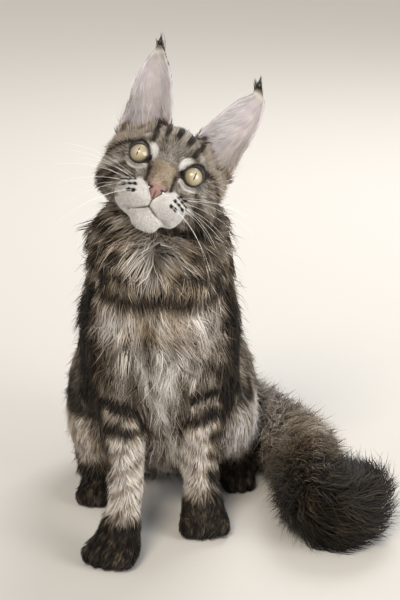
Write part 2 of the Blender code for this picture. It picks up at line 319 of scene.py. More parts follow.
def on_upper_leg(body_points, name):
    """1 on the front of the chest where an upper foreleg is, 0 away from it."""
    top, foot = (np.array(end, dtype=float) for end in UPPER_LEGS[name])
    share = np.clip((body_points[:, 2] - foot[2]) / (top[2] - foot[2]), 0, 1)[:, None]
    away = body_points - foot - share * (top - foot)
    distance = np.hypot(away[:, 0], np.maximum(away[:, 1], 0) * 0.8)
    height = (body_points[:, 2] > foot[2]) & (body_points[:, 2] < top[2] + 6)
    return (distance < LEG_REACH) & height


def part_shares(points, mesh, rounds):
    """For each point, its share in each part of the cat, softened over the surface."""
    parts = np.array([face_parts[solids.find_nearest(point)[2]] for point in points])
    body_points = to_body(points)
    for name in UPPER_LEGS:
        leg = (parts == PARTS.index("trunk")) & on_upper_leg(body_points, name)
        parts[leg] = PARTS.index(name)
    shares = np.zeros((len(points), len(PARTS)))
    shares[np.arange(len(points)), parts] = 1
    return softened(shares, mesh, rounds)


# Depth of the coat over the skin, length, width and wave of its tufts, all in millimetres, for each part.
COAT_FACTS = {
    "neck": (15, 44, 1.5, 2.4),
    "trunk": (12, 36, 1.4, 2.0),
    "hindleg": (9, 27, 1.25, 1.2),
    "foreleg": (5.0, 17, 1.0, 0.7),
    "forepaw": (3.2, 10, 0.85, 0.4),
    "hindpaw": (3.2, 10, 0.85, 0.4),
    "tail": (16, 40, 1.4, 1.8),
    "head": (6, 13, 0.85, 0.4),
    "ear": (0.7, 6, 0.6, 0.2),
}


def facts_of(name):
    for start, facts in COAT_FACTS.items():
        if name.startswith(start):
            return facts
    raise KeyError(name)


FACTS = np.array([facts_of(name) for name in PARTS])


def head_depth(head_points):
    """Depth of the coat on the head: least on the nose and round the eyes, most on the cheeks' sides."""
    x, y, z = np.abs(head_points[:, 0]), head_points[:, 1], head_points[:, 2]
    depth = 1.6 + 2.6 * step(y, -8, 14) + 3.2 * step(y, 18, 46)
    depth += 3.5 * step(x, 32, 50) * step(-z, -12, 12) * step(y, 5, 26)
    depth += 2.0 * step(y, 48, 75)
    for side in (LEFT, RIGHT):
        eye = to_eye(head_points, side)
        depth -= 1.4 * bell(np.linalg.norm(eye, axis=1), 0, 16)
    return np.maximum(depth, 1.0)


def coat_facts(points, mesh, rounds):
    """Depth, length, width and wave of the coat at each point, and the shares in the parts."""
    shares = part_shares(points, mesh, rounds)
    facts = shares @ FACTS
    return facts, shares


print("coat's facts for", len(COAT_FACTS), "kinds of part")

# %% The body's skin, moved in by the depth of its coat
mesh = body_skin.data
facts, shares = coat_facts(positions(mesh), mesh, 24)
paws = shares[:, [number for number, name in enumerate(PARTS) if "paw" in name]].sum(axis=1)
points = softened(positions(mesh), mesh, 26, 1 - 0.85 * paws)
place(mesh, points)
ON_FLOOR = 34


def eased_down(depth, points, outward):
    """The coat is pressed flat where the cat rests on the floor."""
    height = to_body(points)[:, 2]
    pressed = step(-outward[:, 2], 0.2, 0.9) * (1 - step(height, 6, ON_FLOOR))
    return depth * (1 - 0.8 * pressed)


for _ in range(4):
    outward = softened(normals(mesh), mesh, 3)
    points = points - unit(outward) * (eased_down(facts[:, 0], points, outward) * MM / 4)[:, None]
    points = softened(points, mesh, 1)
    points[:, 2] = np.maximum(points[:, 2], 0.4 * MM)
    place(mesh, points)
body_skin = wrapped(body_skin, BODY_GRAIN)
place(body_skin.data, softened(positions(body_skin.data), body_skin.data, 4))
print("body skin's faces:", len(body_skin.data.polygons))

# %% Toes and the hollows beside the upper forelegs
PAW_TURN = {"forepaw_left": 4, "forepaw_right": -26, "hindpaw_left": 10, "hindpaw_right": -14}
TOE_WIDTH = 12


def on_paw(points, name):
    """Points in a paw's own millimetres: across it, ahead to its toes, and up."""
    angle = math.radians(PAW_TURN[name])
    away = to_body(points) - to_body(np.array(box_middle(name)))
    across = away[:, 0] * math.cos(angle) + away[:, 1] * math.sin(angle)
    ahead = away[:, 0] * math.sin(angle) - away[:, 1] * math.cos(angle)
    return across, ahead, to_body(points)[:, 2]


PAW_WIDER = {"forepaw_left": 1.3, "forepaw_right": 1.3, "hindpaw_left": 1.18, "hindpaw_right": 1.18}


def with_wide_paws(points):
    """Widens each paw about its own middle, because a furry paw is broader than the leg above it."""
    result = points.copy()
    for name, wider in PAW_WIDER.items():
        across, ahead, up = on_paw(points, name)
        angle = math.radians(PAW_TURN[name])
        near = (1 - step(np.abs(across), 30, 36)) * (1 - step(np.abs(ahead), 38, 44)) * (1 - step(up, 26, 46))
        shift = near * across * (wider - 1) * MM
        result[:, 0] += shift * math.cos(angle)
        result[:, 1] += shift * math.sin(angle)
    return result


def cut_finer(obj, chosen):
    """Cuts in two each edge of the faces whose middles a test picks out."""
    bm = bmesh.new()
    bm.from_mesh(obj.data)
    picked = chosen(np.array([face.calc_center_median() for face in bm.faces]))
    edges = {edge for face, pick in zip(bm.faces, picked) if pick for edge in face.edges}
    bmesh.ops.subdivide_edges(bm, edges=list(edges), cuts=1, use_grid_fill=True, smooth=0.6)
    bmesh.ops.triangulate(bm, faces=[face for face in bm.faces if len(face.verts) > 4])
    bm.to_mesh(obj.data)
    bm.free()


def near_the_toes(points):
    found = np.zeros(len(points), dtype=bool)
    for name in PAW_TURN:
        across, ahead, up = on_paw(points, name)
        found |= (np.abs(across) < 30) & (ahead > 2) & (ahead < 44) & (up < 33)
    return found


def between_toes(points):
    """How deep in a gap between two toes a point is, from 0 to 1."""
    depth = np.zeros(len(points))
    for name in PAW_TURN:
        across, ahead, up = on_paw(points, name)
        near = (np.abs(across) < 30) & (ahead < 44) & (up < 33)
        gap = sum(bell(across, place_of_gap, 2.0) for place_of_gap in (-TOE_WIDTH, 0, TOE_WIDTH))
        depth = np.maximum(depth, near * gap * step(ahead, 4, 16) * (1 - step(up, 22, 31)))
    return depth


def beside_upper_legs(body_points):
    """The hollows between the chest and each upper foreleg."""
    x, y, z = body_points.T
    left = bell(x, np.interp(z, (95, 170), (19, 25)), 5.5)
    right = bell(x, np.interp(z, (95, 170), (-14, -22)), 5.5)
    return (left + right) * step(z, 96, 108) * (1 - step(z, 150, 178)) * (1 - step(y, -62, -40))


cut_finer(body_skin, near_the_toes)
mesh = body_skin.data
place(mesh, with_wide_paws(positions(mesh)))
points, outward = positions(mesh), unit(softened(normals(mesh), mesh, 2))
hollow = 3.0 * between_toes(points) + 3.5 * beside_upper_legs(to_body(points))
place(mesh, points - outward * hollow[:, None] * MM)
print("body skin's faces with toes:", len(mesh.polygons))

# %% [markdown]
# ## The face
# The wrap has filled the eyes, so the lids are sculpted afterwards. In polar angles round an eyeball, the opening
# between the lids is one smooth curve. Points inside it go behind the eyeball, points near it snap onto it, and the
# lids beyond rise to a rounded rim and fade into the face. The nose, the lips and the fold between them are shallow
# grooves along named lines. These places are first cut finer, so that the folds are crisp.

# %% The head's skin, moved in, and cut finer where the folds will be
MUZZLE_LEAN = 0.085
EAR_HEIGHTS, EAR_WIDER = (48, 70, 86, 100), (0, 0.14, 0.3, 0.55)


def with_wide_ears(head_points, ear_share):
    """Smoothing narrows the ears towards their tips, so each is widened, mostly on its outer side."""
    result = head_points.copy()
    for side in (LEFT, RIGHT):
        mine = (ear_share > 0.5) & (head_points[:, 0] * side > 0)
        heights = np.arange(40, 112, 6)
        across, up = head_points[mine, 0], head_points[mine, 2]
        middles = []
        for height in heights:
            level = np.abs(across[np.abs(up - height) < 4])
            middles.append(side * (0.8 * level.min() + 0.2 * level.max()) if len(level) else middles[-1])
        middle = np.interp(head_points[:, 2], heights, middles)
        grow = np.interp(head_points[:, 2], EAR_HEIGHTS, EAR_WIDER) * ear_share * (head_points[:, 0] * side > 0)
        result[:, 0] += grow * (head_points[:, 0] - middle)
    return result


mesh = head_skin.data
points = positions(mesh)
shares = part_shares(points, mesh, 4)
ear_share = step(shares[:, PARTS.index("ear_left")] + shares[:, PARTS.index("ear_right")], 0.2, 0.8)
points = softened(points, mesh, 12, 1 - 0.85 * ear_share)
place(mesh, points)
for _ in range(3):
    outward = unit(softened(normals(mesh), mesh, 2))
    depth = head_depth(to_head(points)) * (1 - ear_share) + 0.75 * ear_share
    points = points - outward * (depth * MM / 3)[:, None]
    points = softened(points, mesh, 1, 1 - 0.9 * ear_share)
    place(mesh, points)


def lean_of(y):
    """The muzzle points a little to the cat's left of where the eyes face."""
    return MUZZLE_LEAN * np.maximum(2 - y, 0)


def with_chin(head_points):
    """Brings the chin down, forward and to the cat's left, because smoothing has taken it back."""
    x, y, z = head_points.T
    chin = bell(y, -10, 15) * bell(z, -58, 9)
    result = head_points + (chin * bell(x, 5, 20))[:, None] * np.array((0, -0.5, -3.0))
    result[:, 0] += 5 * chin * step(x, -10, 13) * (1 - step(x, 20, 34))
    jaw = bell(np.abs(x - 2), 22, 10) * bell(y, -2, 14) * bell(z, -50, 9)
    result[:, 2] -= 3.5 * jaw
    return result


def with_low_brows(head_points):
    """In front of each ear the skull falls away, so that the ear's hollow shows down to the brow."""
    x, y, z = head_points.T
    brow = bell(np.abs(x), 41, 10) * bell(z, 30, 11) * (1 - step(y, 42, 56)) * step(y, 8, 22)
    fall = np.stack((-2.5 * np.sign(x), 8 + 0 * x, -11 + 0 * x), axis=1)
    return head_points + brow[:, None] * fall


head_points = with_low_brows(with_chin(with_wide_ears(to_head(points), ear_share)))
head_points[:, 0] += lean_of(head_points[:, 1])
place(mesh, from_head(head_points))


def near_an_eye(reach, front):
    def chosen(points):
        found = np.zeros(len(points), dtype=bool)
        for side in (LEFT, RIGHT):
            eye = to_eye(to_head(points), side)
            found |= (np.linalg.norm(eye, axis=1) < reach) & (eye[:, 1] < front)
        return found
    return chosen


def near_the_mouth(points):
    x, y, z = to_head(points).T
    return (np.abs(x - 2) < 27) & (y < 2) & (z < -16) & (z > -62)


cut_finer(head_skin, lambda points: near_an_eye(17, 0)(points) | near_the_mouth(points))
cut_finer(head_skin, near_an_eye(13.2, -4))
print("head skin's faces:", len(head_skin.data.polygons))

# %% The opening between the lids


def opening(angle):
    """Half angle of the opening, seen from the eyeball's middle. Angle 0 is towards the ear and a quarter turn is up."""
    half = 52 - 3.5 * bell(angle, math.pi / 2, 0.8) + 1.0 * bell(angle, 0.35, 0.5)
    half += 11 * bell(angle, math.radians(203), 0.26)
    half -= 1.5 * bell(angle, math.radians(275), 0.7)
    return np.radians(half)


def lid_share(eye_points):
    """Where a point is against the opening: under 1 is inside it, over 1 is on the lids."""
    x, y, z = eye_points.T
    angle = np.arctan2(z, x) % math.tau
    off_axis = np.arctan2(np.hypot(x, z), -y)
    return off_axis / opening(angle), angle


def with_lids(head_points):
    """Sculpts both eyes' lids into the head's points."""
    for side in (LEFT, RIGHT):
        eye = to_eye(head_points, side)
        share, angle = lid_share(eye)
        reach = np.linalg.norm(eye, axis=1)
        near = (reach < 20) & (share < 1.75)
        snapped = near & (np.abs(share - 1) < 0.07)
        inside = near & (share <= 0.93)
        lid = near & (share >= 1.07)
        goal = reach.copy()
        goal[snapped] = EYE_RADIUS + 0.3
        goal[inside] = EYE_RADIUS - 1.8
        rim = EYE_RADIUS + 0.5 + 1.1 * step(share, 1.05, 1.3)
        fade = 1 - step(share, 1.12, 1.55)
        goal[lid] = (reach + fade * (rim - reach))[lid]
        direction = unit(eye)
        half = opening(angle)
        flat = np.hypot(direction[:, 0], direction[:, 2])
        on_rim = np.stack(
            (direction[:, 0] / flat * np.sin(half), -np.cos(half), direction[:, 2] / flat * np.sin(half)), axis=1
        )
        direction[snapped] = on_rim[snapped]
        moved = direction * goal[:, None]
        eye[near] = moved[near]
        head_points = from_eye(eye, side)
    return head_points


head_points = with_lids(to_head(positions(head_skin.data)))
place(head_skin.data, from_head(head_points))
print("lids sculpted on", len(head_points), "points")

# %% The folds of the nose and the mouth
NOSE_TOP, NOSE_FOOT, MOUTH_MIDDLE = -25, -39, -45.5
MOUTH = [(-19, -52), (-12, -52), (-5, -48.5), (0, -45.5), (5, -48.5), (12, -52), (19, -52)]
PHILTRUM = [(0, -38), (0, -46)]


def muzzle_plane(head_points):
    """Across and up on the muzzle, with its lean taken out."""
    return head_points[:, 0] - lean_of(head_points[:, 1]), head_points[:, 2]


def with_folds(head_points, outward):
    across, up = muzzle_plane(head_points)
    front = 1 - step(head_points[:, 1], -14, 0)
    lips = 1.9 * bell(line_distance(across, up, MOUTH), 0, 1.2)
    lips += 1.1 * bell(line_distance(across, up, PHILTRUM), 0, 0.9)
    beside_nose = 0.8 * bell(line_distance(np.abs(across), up, [(12, -26), (5, -38)]), 0, 1.6)
    under_nose = 1.3 * bell(across, 0, 9) * step(up, -40, -36) * (1 - step(up, -27, -23))
    return head_points - outward * ((lips + beside_nose + under_nose) * front)[:, None]


outward = unit(softened(normals(head_skin.data), head_skin.data, 2)) @ HEAD_AXES
head_points = with_folds(head_points, outward)
place(head_skin.data, from_head(head_points))
print("mouth corners at", MOUTH[0], MOUTH[-1])

# %% Both skins in one
join = head_skin.modifiers.new("join", "BOOLEAN")
join.operation = "UNION"
join.solver = "EXACT"
join.object = body_skin
skin = settled(head_skin)
old = body_skin.data
bpy.data.objects.remove(body_skin)
bpy.data.meshes.remove(old)
skin.data.shade_smooth()
skin_triangles = sum(len(face.vertices) - 2 for face in skin.data.polygons)
print("the skin has", skin_triangles, "triangles")

# %% [markdown]
# ## The lie of the coat
# On the animal every hair leans the way that it was stroked by growth: back from the nose over the skull, out and
# down from a whorl under the chin, down the chest and legs, and along the tail. Here that is a direction at every
# point of the skin. Each part of the cat gives its own direction, the shares blend them, and the result is laid
# flat onto the skin.

# %% The skin as arrays, with the shares of its parts
mesh = skin.data
SKIN = positions(mesh)
OUTWARD = unit(softened(normals(mesh), mesh, 2))
SHARES = part_shares(SKIN, mesh, 8)
HEAD = to_head(SKIN)
BODY = to_body(SKIN)


def share_of(*starts):
    """Each point's share in all the parts whose names start so."""
    columns = [number for number, name in enumerate(PARTS) if name.startswith(starts)]
    return SHARES[:, columns].sum(axis=1)


# The hollow of each ear comes down in front, over the brow, so that stretch of the head counts as ear.
from_middle, height = np.abs(HEAD[:, 0]), HEAD[:, 2]
hollow = step(from_middle + height, 50, 56) * step(from_middle, 24, 30) * step(HEAD[:, 1], 10, 18)
hollow *= (1 - step(HEAD[:, 1], 46, 56)) * step(-(OUTWARD @ HEAD_AXES)[:, 1], -0.1, 0.3)
for name, side in (("ear_left", LEFT), ("ear_right", RIGHT)):
    moved = SHARES[:, PARTS.index("head")] * hollow * (HEAD[:, 0] * side > 0)
    SHARES[:, PARTS.index(name)] += moved
    SHARES[:, PARTS.index("head")] -= moved
head_share, ear_share = share_of("head"), share_of("ear")
print("points of skin:", len(SKIN))

# %% Directions on each part
NOSE_START = np.array((2, -30, -21))
WHORL = np.array((-6, -109, 292))
TAIL_LINE = np.array([
    (0, 130, 46), (30, 168, 40), (76, 157, 38), (113, 116, 37), (138, 58, 37), (147, 0, 37), (149, -58, 36),
    (158, -98, 35), (180, -110, 35), (198, -88, 38), (203, -64, 46),
])


def toward(x, y, z):
    return np.tile(np.array((x, y, z), dtype=float), (len(SKIN), 1))


def tail_place(body_points):
    """How far along the tail a point is, from 0 to 1, the direction of the tail there, and its middle line's point."""
    best = np.full(len(body_points), 1e9)
    share = np.zeros(len(body_points))
    direction = np.zeros((len(body_points), 3))
    middle = np.zeros((len(body_points), 3))
    last = len(TAIL_LINE) - 1
    for number in range(last):
        start, stretch = TAIL_LINE[number], TAIL_LINE[number + 1] - TAIL_LINE[number]
        part = np.clip((body_points - start) @ stretch / (stretch @ stretch), 0, 1)
        foot = start + part[:, None] * stretch
        distance = np.linalg.norm(body_points - foot, axis=1)
        closer = distance < best
        best[closer] = distance[closer]
        share[closer] = (number + part[closer]) / last
        direction[closer] = stretch / np.linalg.norm(stretch)
        middle[closer] = foot[closer]
    return share, direction, middle


def head_lie(head_points):
    x, y, z = head_points.T
    away = unit(head_points - NOSE_START)
    away[:, 1] += 0.35
    away[:, 2] -= 0.45 * step(np.abs(x), 18, 44) * (1 - step(z, 4, 20))
    return unit(away) @ HEAD_AXES.T


def neck_lie(body_points):
    from_whorl = body_points - WHORL
    near = bell(np.linalg.norm(from_whorl * (0.75, 1, 1.2), axis=1), 0, 42)[:, None]
    outwards = unit(from_whorl)
    down = np.array((0, 0.25, -1)) * np.ones_like(outwards)
    down[:, 0] = 0.35 * np.sign(body_points[:, 0]) * step(np.abs(body_points[:, 0]), 0, 40)
    return unit(outwards * near * 1.2 + down * (1 - 0.75 * near))


def lie_of_the_coat():
    lie = head_lie(HEAD) * head_share[:, None]
    ear_tip = from_head(np.array((50, 47, 125)) * np.stack((np.sign(HEAD[:, 0]), np.ones(len(HEAD)), np.ones(len(HEAD))), axis=1))
    lie += unit(ear_tip - SKIN) * ear_share[:, None]
    lie += neck_lie(BODY) * share_of("neck")[:, None]
    chest = toward(0, 0.2, -1)
    chest[:, 0] = 0.12 * np.sign(BODY[:, 0]) * step(np.abs(BODY[:, 0]), 5, 50)
    lie += unit(chest) * share_of("trunk")[:, None]
    lie += unit(toward(0, 0.28, -1)) * share_of("foreleg")[:, None]
    lie += unit(toward(0, 0.4, -1)) * share_of("hindleg")[:, None]
    for name, turn in PAW_TURN.items():
        angle = math.radians(turn)
        lie += unit(toward(math.sin(angle), -math.cos(angle), -0.55)) * share_of(name)[:, None]
    _, along, _ = tail_place(BODY)
    lie += along * share_of("tail")[:, None]
    return lie


def laid_flat(directions, outward):
    return unit(directions - outward * np.sum(directions * outward, axis=1, keepdims=True))


LIE = laid_flat(softened(laid_flat(lie_of_the_coat(), OUTWARD), mesh, 5), OUTWARD)
print("lie of the coat found at", len(LIE), "points")

# %% Depth, length, width and wave of the coat


def head_length(head_points):
    x, y, z = np.abs(head_points[:, 0]), head_points[:, 1], head_points[:, 2]
    length = 3.6 + 2.4 * step(y, -10, 12) + 4.5 * step(y, 18, 46) + 4 * step(y, 48, 75)
    length += 9 * step(x, 34, 50) * step(-z, -8, 14) * step(y, 8, 30)
    length += 6 * step(-z, 50, 64) + 5 * step(z, 27, 40) * (1 - step(x, 22, 32))
    length += 9 * bell(x, 46, 14) * bell(z, -38, 16) * step(y, 16, 34)
    length -= 3.5 * bell(x, 41, 9) * bell(z, 24, 12) * step(y, 8, 22)
    length -= 1.3 * step(-y, 8, 16)
    for side in (LEFT, RIGHT):
        eye = to_eye(head_points, side)
        length -= 2.6 * bell(np.linalg.norm(eye, axis=1), 0, 15)
    return np.maximum(length, 2.0)


COAT = SHARES @ FACTS
COAT[:, 0] += head_share * (head_depth(HEAD) - 6)
COAT[:, 1] += head_share * (head_length(HEAD) - 13)
COAT[:, 2] += head_share * (-0.3 * (1 - step(HEAD[:, 1], 5, 40)))
COAT[:, 0] = eased_down(COAT[:, 0], SKIN, OUTWARD)
under_the_head = share_of("neck") * step(BODY[:, 2], 292, 318) * step(np.abs(BODY[:, 0] - 5), 20, 45)
COAT[:, 0] += 5 * under_the_head
chest_front = share_of("trunk") * step(-OUTWARD[:, 1], 0.1, 0.7)
COAT[:, 1] += 6 * chest_front
COAT[:, 3] += 1.6 * chest_front
print("longest tuft", round(COAT[:, 1].max(), 1), "mm, shortest", round(COAT[:, 1].min(), 1), "mm")

# %% [markdown]
# ## The markings
# A tabby coat is black, ochre and white hair mixed in different shares: black in the bars, white round the eyes and
# on the muzzle, and grizzled in between. So a marking is three numbers, for the dark, the pale and the warm hair,
# and a few functions of the place on the cat give them. The same functions colour the skin and every tuft, so where
# the coat parts, the right colour shows below. No picture is used.

# %% The finishes, and how one is painted over another
FINISHES = {
    "grizzle": (0.44, 0.20, 0.42),
    "grey": (0.36, 0.34, 0.12),
    "silver": (0.12, 0.72, 0.08),
    "white": (0.0, 1.0, 0.0),
    "cream": (0.06, 0.60, 0.42),
    "fawn": (0.24, 0.32, 0.55),
    "buff": (0.14, 0.26, 0.80),
    "ochre": (0.28, 0.06, 1.0),
    "brown": (0.66, 0.04, 0.75),
    "black": (0.98, 0.0, 0.35),
}


def coat_of(name, count):
    return np.tile(np.array(FINISHES[name]), (count, 1))


def painted(marks, name, mask):
    """Paints a finish over the marks, as strong as the mask."""
    mask = np.clip(mask, 0, 1)[:, None]
    marks += mask * (np.array(FINISHES[name]) - marks)


# %% The face's markings
WHISKER_ROWS = [(22.5, -22.8, 2), (20.5, -27.2, 3), (19.0, -32.8, 3), (17.8, -38.4, 2)]
DOT_STEP, DOT_RISE = 4.2, -0.7
TEMPLE_STRIPE = [(36, 8), (43, 8), (50, 0), (57, -12), (60, -24)]
CHEEK_STRIPES = [[(34, -14), (44, -22), (56, -28)], [(38, -24), (46, -32), (56, -38)]]
JAW_STRIPE = [(20, -54), (31, -49), (44, -42), (58, -30), (70, -17)]
NOSE_SIDE = [(11.5, -9), (11.3, -16), (11.5, -25)]


def lid_gap(eye_points):
    """How far outside the opening a point is, in millimetres, and its angle round the eye."""
    _, angle = lid_share(eye_points)
    return np.hypot(eye_points[:, 0], eye_points[:, 2]) - EYE_RADIUS * np.sin(opening(angle)), angle


def eye_marks(marks, head_points):
    """A pale surround, and the black rim of the lids, thickest above and towards the ear, where it also paints the
    shade under the upper lid.
    """
    for side in (LEFT, RIGHT):
        eye = to_eye(head_points, side)
        gap, angle = lid_gap(eye)
        near = (np.linalg.norm(eye, axis=1) < 30) & (eye[:, 1] < 4)
        inner = bell(angle, math.radians(150), 0.68)
        pale = np.clip(1.2 * inner + 1.3 * bell(angle, math.radians(250), 0.95), 0, 1)
        reach = 2.7 + 3.0 * inner + 2.8 * pale
        painted(marks, "white", near * pale * (1 - step(gap, reach, reach + 1.6)))
        # The wide black above and towards the ear is partly the lids' black margin and partly painted shade under the
        # upper lid.
        width = 0.9 + 4.8 * bell(angle, math.radians(60), 0.8) + 2.2 * bell(angle, math.radians(190), 0.32)
        painted(marks, "black", 1.1 * near * (1 - step(gap, width, width + 0.8)))


def forehead_marks(marks, x, y, z, wobble):
    """Dark streaks that run up the forehead and over the crown, and a bar over each eye's inner corner."""
    spread = x / (1 + 0.012 * np.maximum(z - 20, 0))
    streak = step(np.cos(spread * math.tau / 9.5 + 0.8 * wobble), -0.25, 0.4)
    crown = step(z, 15 + 6 * bell(x, 0, 9), 25) * (1 - step(np.abs(x), 25, 36))
    painted(marks, "cream", 0.4 * (1 - streak) * crown)
    painted(marks, "black", 0.98 * streak * crown)
    painted(marks, "black", 0.6 * crown * step(z, 36, 48))
    bar = bell(np.abs(x) - 0.12 * (z - 17), 19.5, 2.7) * step(z, 10, 13) * (1 - step(z, 24, 29))
    painted(marks, "black", 1.25 * bar * (1 - step(y, 14, 24)))
    painted(marks, "cream", 0.8 * bell(np.abs(x), 26.5, 3.4) * bell(z, 19, 4.5) * (1 - step(y, 20, 30)))
    middle = bell(x, 0, 8) * step(z, -2, 8) * (1 - step(z, 20, 28))
    painted(marks, "grey", 0.6 * middle)


def muzzle_marks(marks, x, y, z, wobble):
    """White pads with rows of dark dots, a buff nose bridge between two dark lines, a speckled lower lip and dark
    lips.
    """
    side = np.abs(x)
    front = 1 - step(y, 4, 16)
    bridge = (1 - step(side, 8, 12)) * step(z, -31, -25) * (1 - step(z, -7, 4))
    spots = np.stack((x, y, z), axis=1)
    streaks = ripple(spots * (0.5, 0.5, 1.6), 5, 6)
    painted(marks, "brown", 0.4 * bridge * front * step(z, -25, -12) * (0.6 + 0.6 * wobble))
    beside = bell(side, 12.5, 3) * step(z, -24, -18) * (1 - step(z, -4, 2))
    painted(marks, "grizzle", 0.8 * beside * front)
    edge = -20.5 - 0.22 * side + 1.5 * streaks - 4 * (1 - step(side, 11, 15))
    reach = np.where(x > 0, 33, 29) + 4 * streaks
    pads = (1 - step(z, edge - 3.5, edge + 3)) * (1 - step(side, reach - 3, reach + 5)) * (1 - step(y, 8, 24))
    painted(marks, "cream", 0.8 * pads)
    painted(marks, "white", pads * (1 - 0.45 * step(side, 20, 28) * step(streaks, -0.2, 0.6)))
    painted(marks, "buff", 0.9 * bridge * front)
    painted(marks, "brown", 0.4 * bridge * front * step(wobble, -0.3, 0.6) * (1 - step(z, -8, 0)))
    painted(marks, "black", bell(line_distance(side, z, NOSE_SIDE), 0, 1.8) * front)
    for start, height, count in WHISKER_ROWS:
        for number in range(count):
            distance = np.hypot((side - start - number * DOT_STEP) / 1.25, z - height - number * DOT_RISE)
            painted(marks, "black", 1.2 * (1 - step(distance, 1.0, 2.0)) * front)
    lower_lip = bell(z, -54, 3.6) * bell(x, 3, 9) * (1 - step(y, -8, 0))
    speckle = step(ripple(spots, 1.7, 8), 0.0, 0.5)
    painted(marks, "grey", 1.3 * lower_lip * speckle)
    lips = bell(line_distance(x, z, MOUTH), 0, 0.95) + bell(line_distance(x, z, PHILTRUM), 0, 0.7)
    painted(marks, "black", 0.9 * lips * (1 - step(y, -14, -4)))


def head_marks(head_points):
    x = head_points[:, 0] - lean_of(head_points[:, 1])
    _, y, z = head_points.T
    side = np.abs(x)
    wobble = ripple(head_points, 11, 3)
    marks = coat_of("grizzle", len(head_points))
    painted(marks, "grey", 0.9 * (1 - step(side, 30, 52)) * (1 - step(y, 14, 40)))
    flecks = ripple(head_points * (1, 0.6, 1), 3.4, 4)
    painted(marks, "black", 0.55 * step(flecks, 0.0, 0.8))
    painted(marks, "silver", 0.4 * step(-flecks, 0.1, 0.9))
    painted(marks, "black", 0.32 * step(z, 4, 14) * (1 - step(side, 24, 40)))
    painted(marks, "ochre", 0.3 * step(side, 40, 54) * (1 - step(z, 15, 35)) * (0.7 + 0.5 * wobble))
    painted(marks, "buff", 0.4 * bell(side, 40, 10) * step(z, 12, 26) * (1 - step(y, 35, 50)))
    forehead_marks(marks, x, y, z, wobble)
    warped = z + 1.5 * wobble
    painted(marks, "black", 1.3 * bell(line_distance(side, warped, TEMPLE_STRIPE), 0, 2.8) * step(y, -4, 6))
    for stripe in CHEEK_STRIPES:
        painted(marks, "black", 1.3 * bell(line_distance(side, warped, stripe), 0, 2.8) * step(y, -2, 8))
    cheek = bell(side, 48, 8) * bell(z, -18, 7) * step(y, 5, 16)
    painted(marks, "cream", 0.6 * cheek * (0.6 + 0.6 * wobble))
    painted(marks, "silver", 0.6 * bell(side, 40, 5) * bell(z, -12, 5) * step(y, 0, 10))
    painted(marks, "black", 0.25 * step(x, 28, 42) * (1 - step(z, 0, 14)))
    painted(marks, "black", 0.9 * bell(side, 47, 6) * bell(z, -37, 4.5) * step(y, 4, 14))
    muzzle_marks(marks, x, y, z, wobble)
    chin_edge = 26 + 5 * ripple(head_points, 5, 9)
    chin = step(-z, 48, 53) * (1 - step(np.abs(x - 5), chin_edge - 5, chin_edge + 6)) * (1 - step(y, 8, 28))
    painted(marks, "white", 0.97 * chin)
    painted(marks, "black", bell(line_distance(side, warped, JAW_STRIPE), 0, 3.2) * step(y, 0, 10))
    eye_marks(marks, head_points)
    behind = step(y, 46, 62)
    stripes = step(np.cos(x * math.tau / 15 + 1.2 * wobble), -0.1, 0.5)
    painted(marks, "black", 0.85 * behind * stripes * (1 - step(side, 30, 46)))
    return marks


# %% The body's markings
COLLARS = [(248, 8, 1.25, 0), (268, 5.5, 1.2, 12), (287, 5.8, 1.2, 18), (307, 6.5, 1.2, 20), (326, 5, 0.9, 24)]
LEG_LINES = {
    LEFT: ((0, 95, 172), (43.5, 43, 49), (-76, -64, -70), 165, 24, 2),
    RIGHT: ((0, 95, 168), (-44, -36, -46), (-138, -92, -78), 160, 24, 6),
}


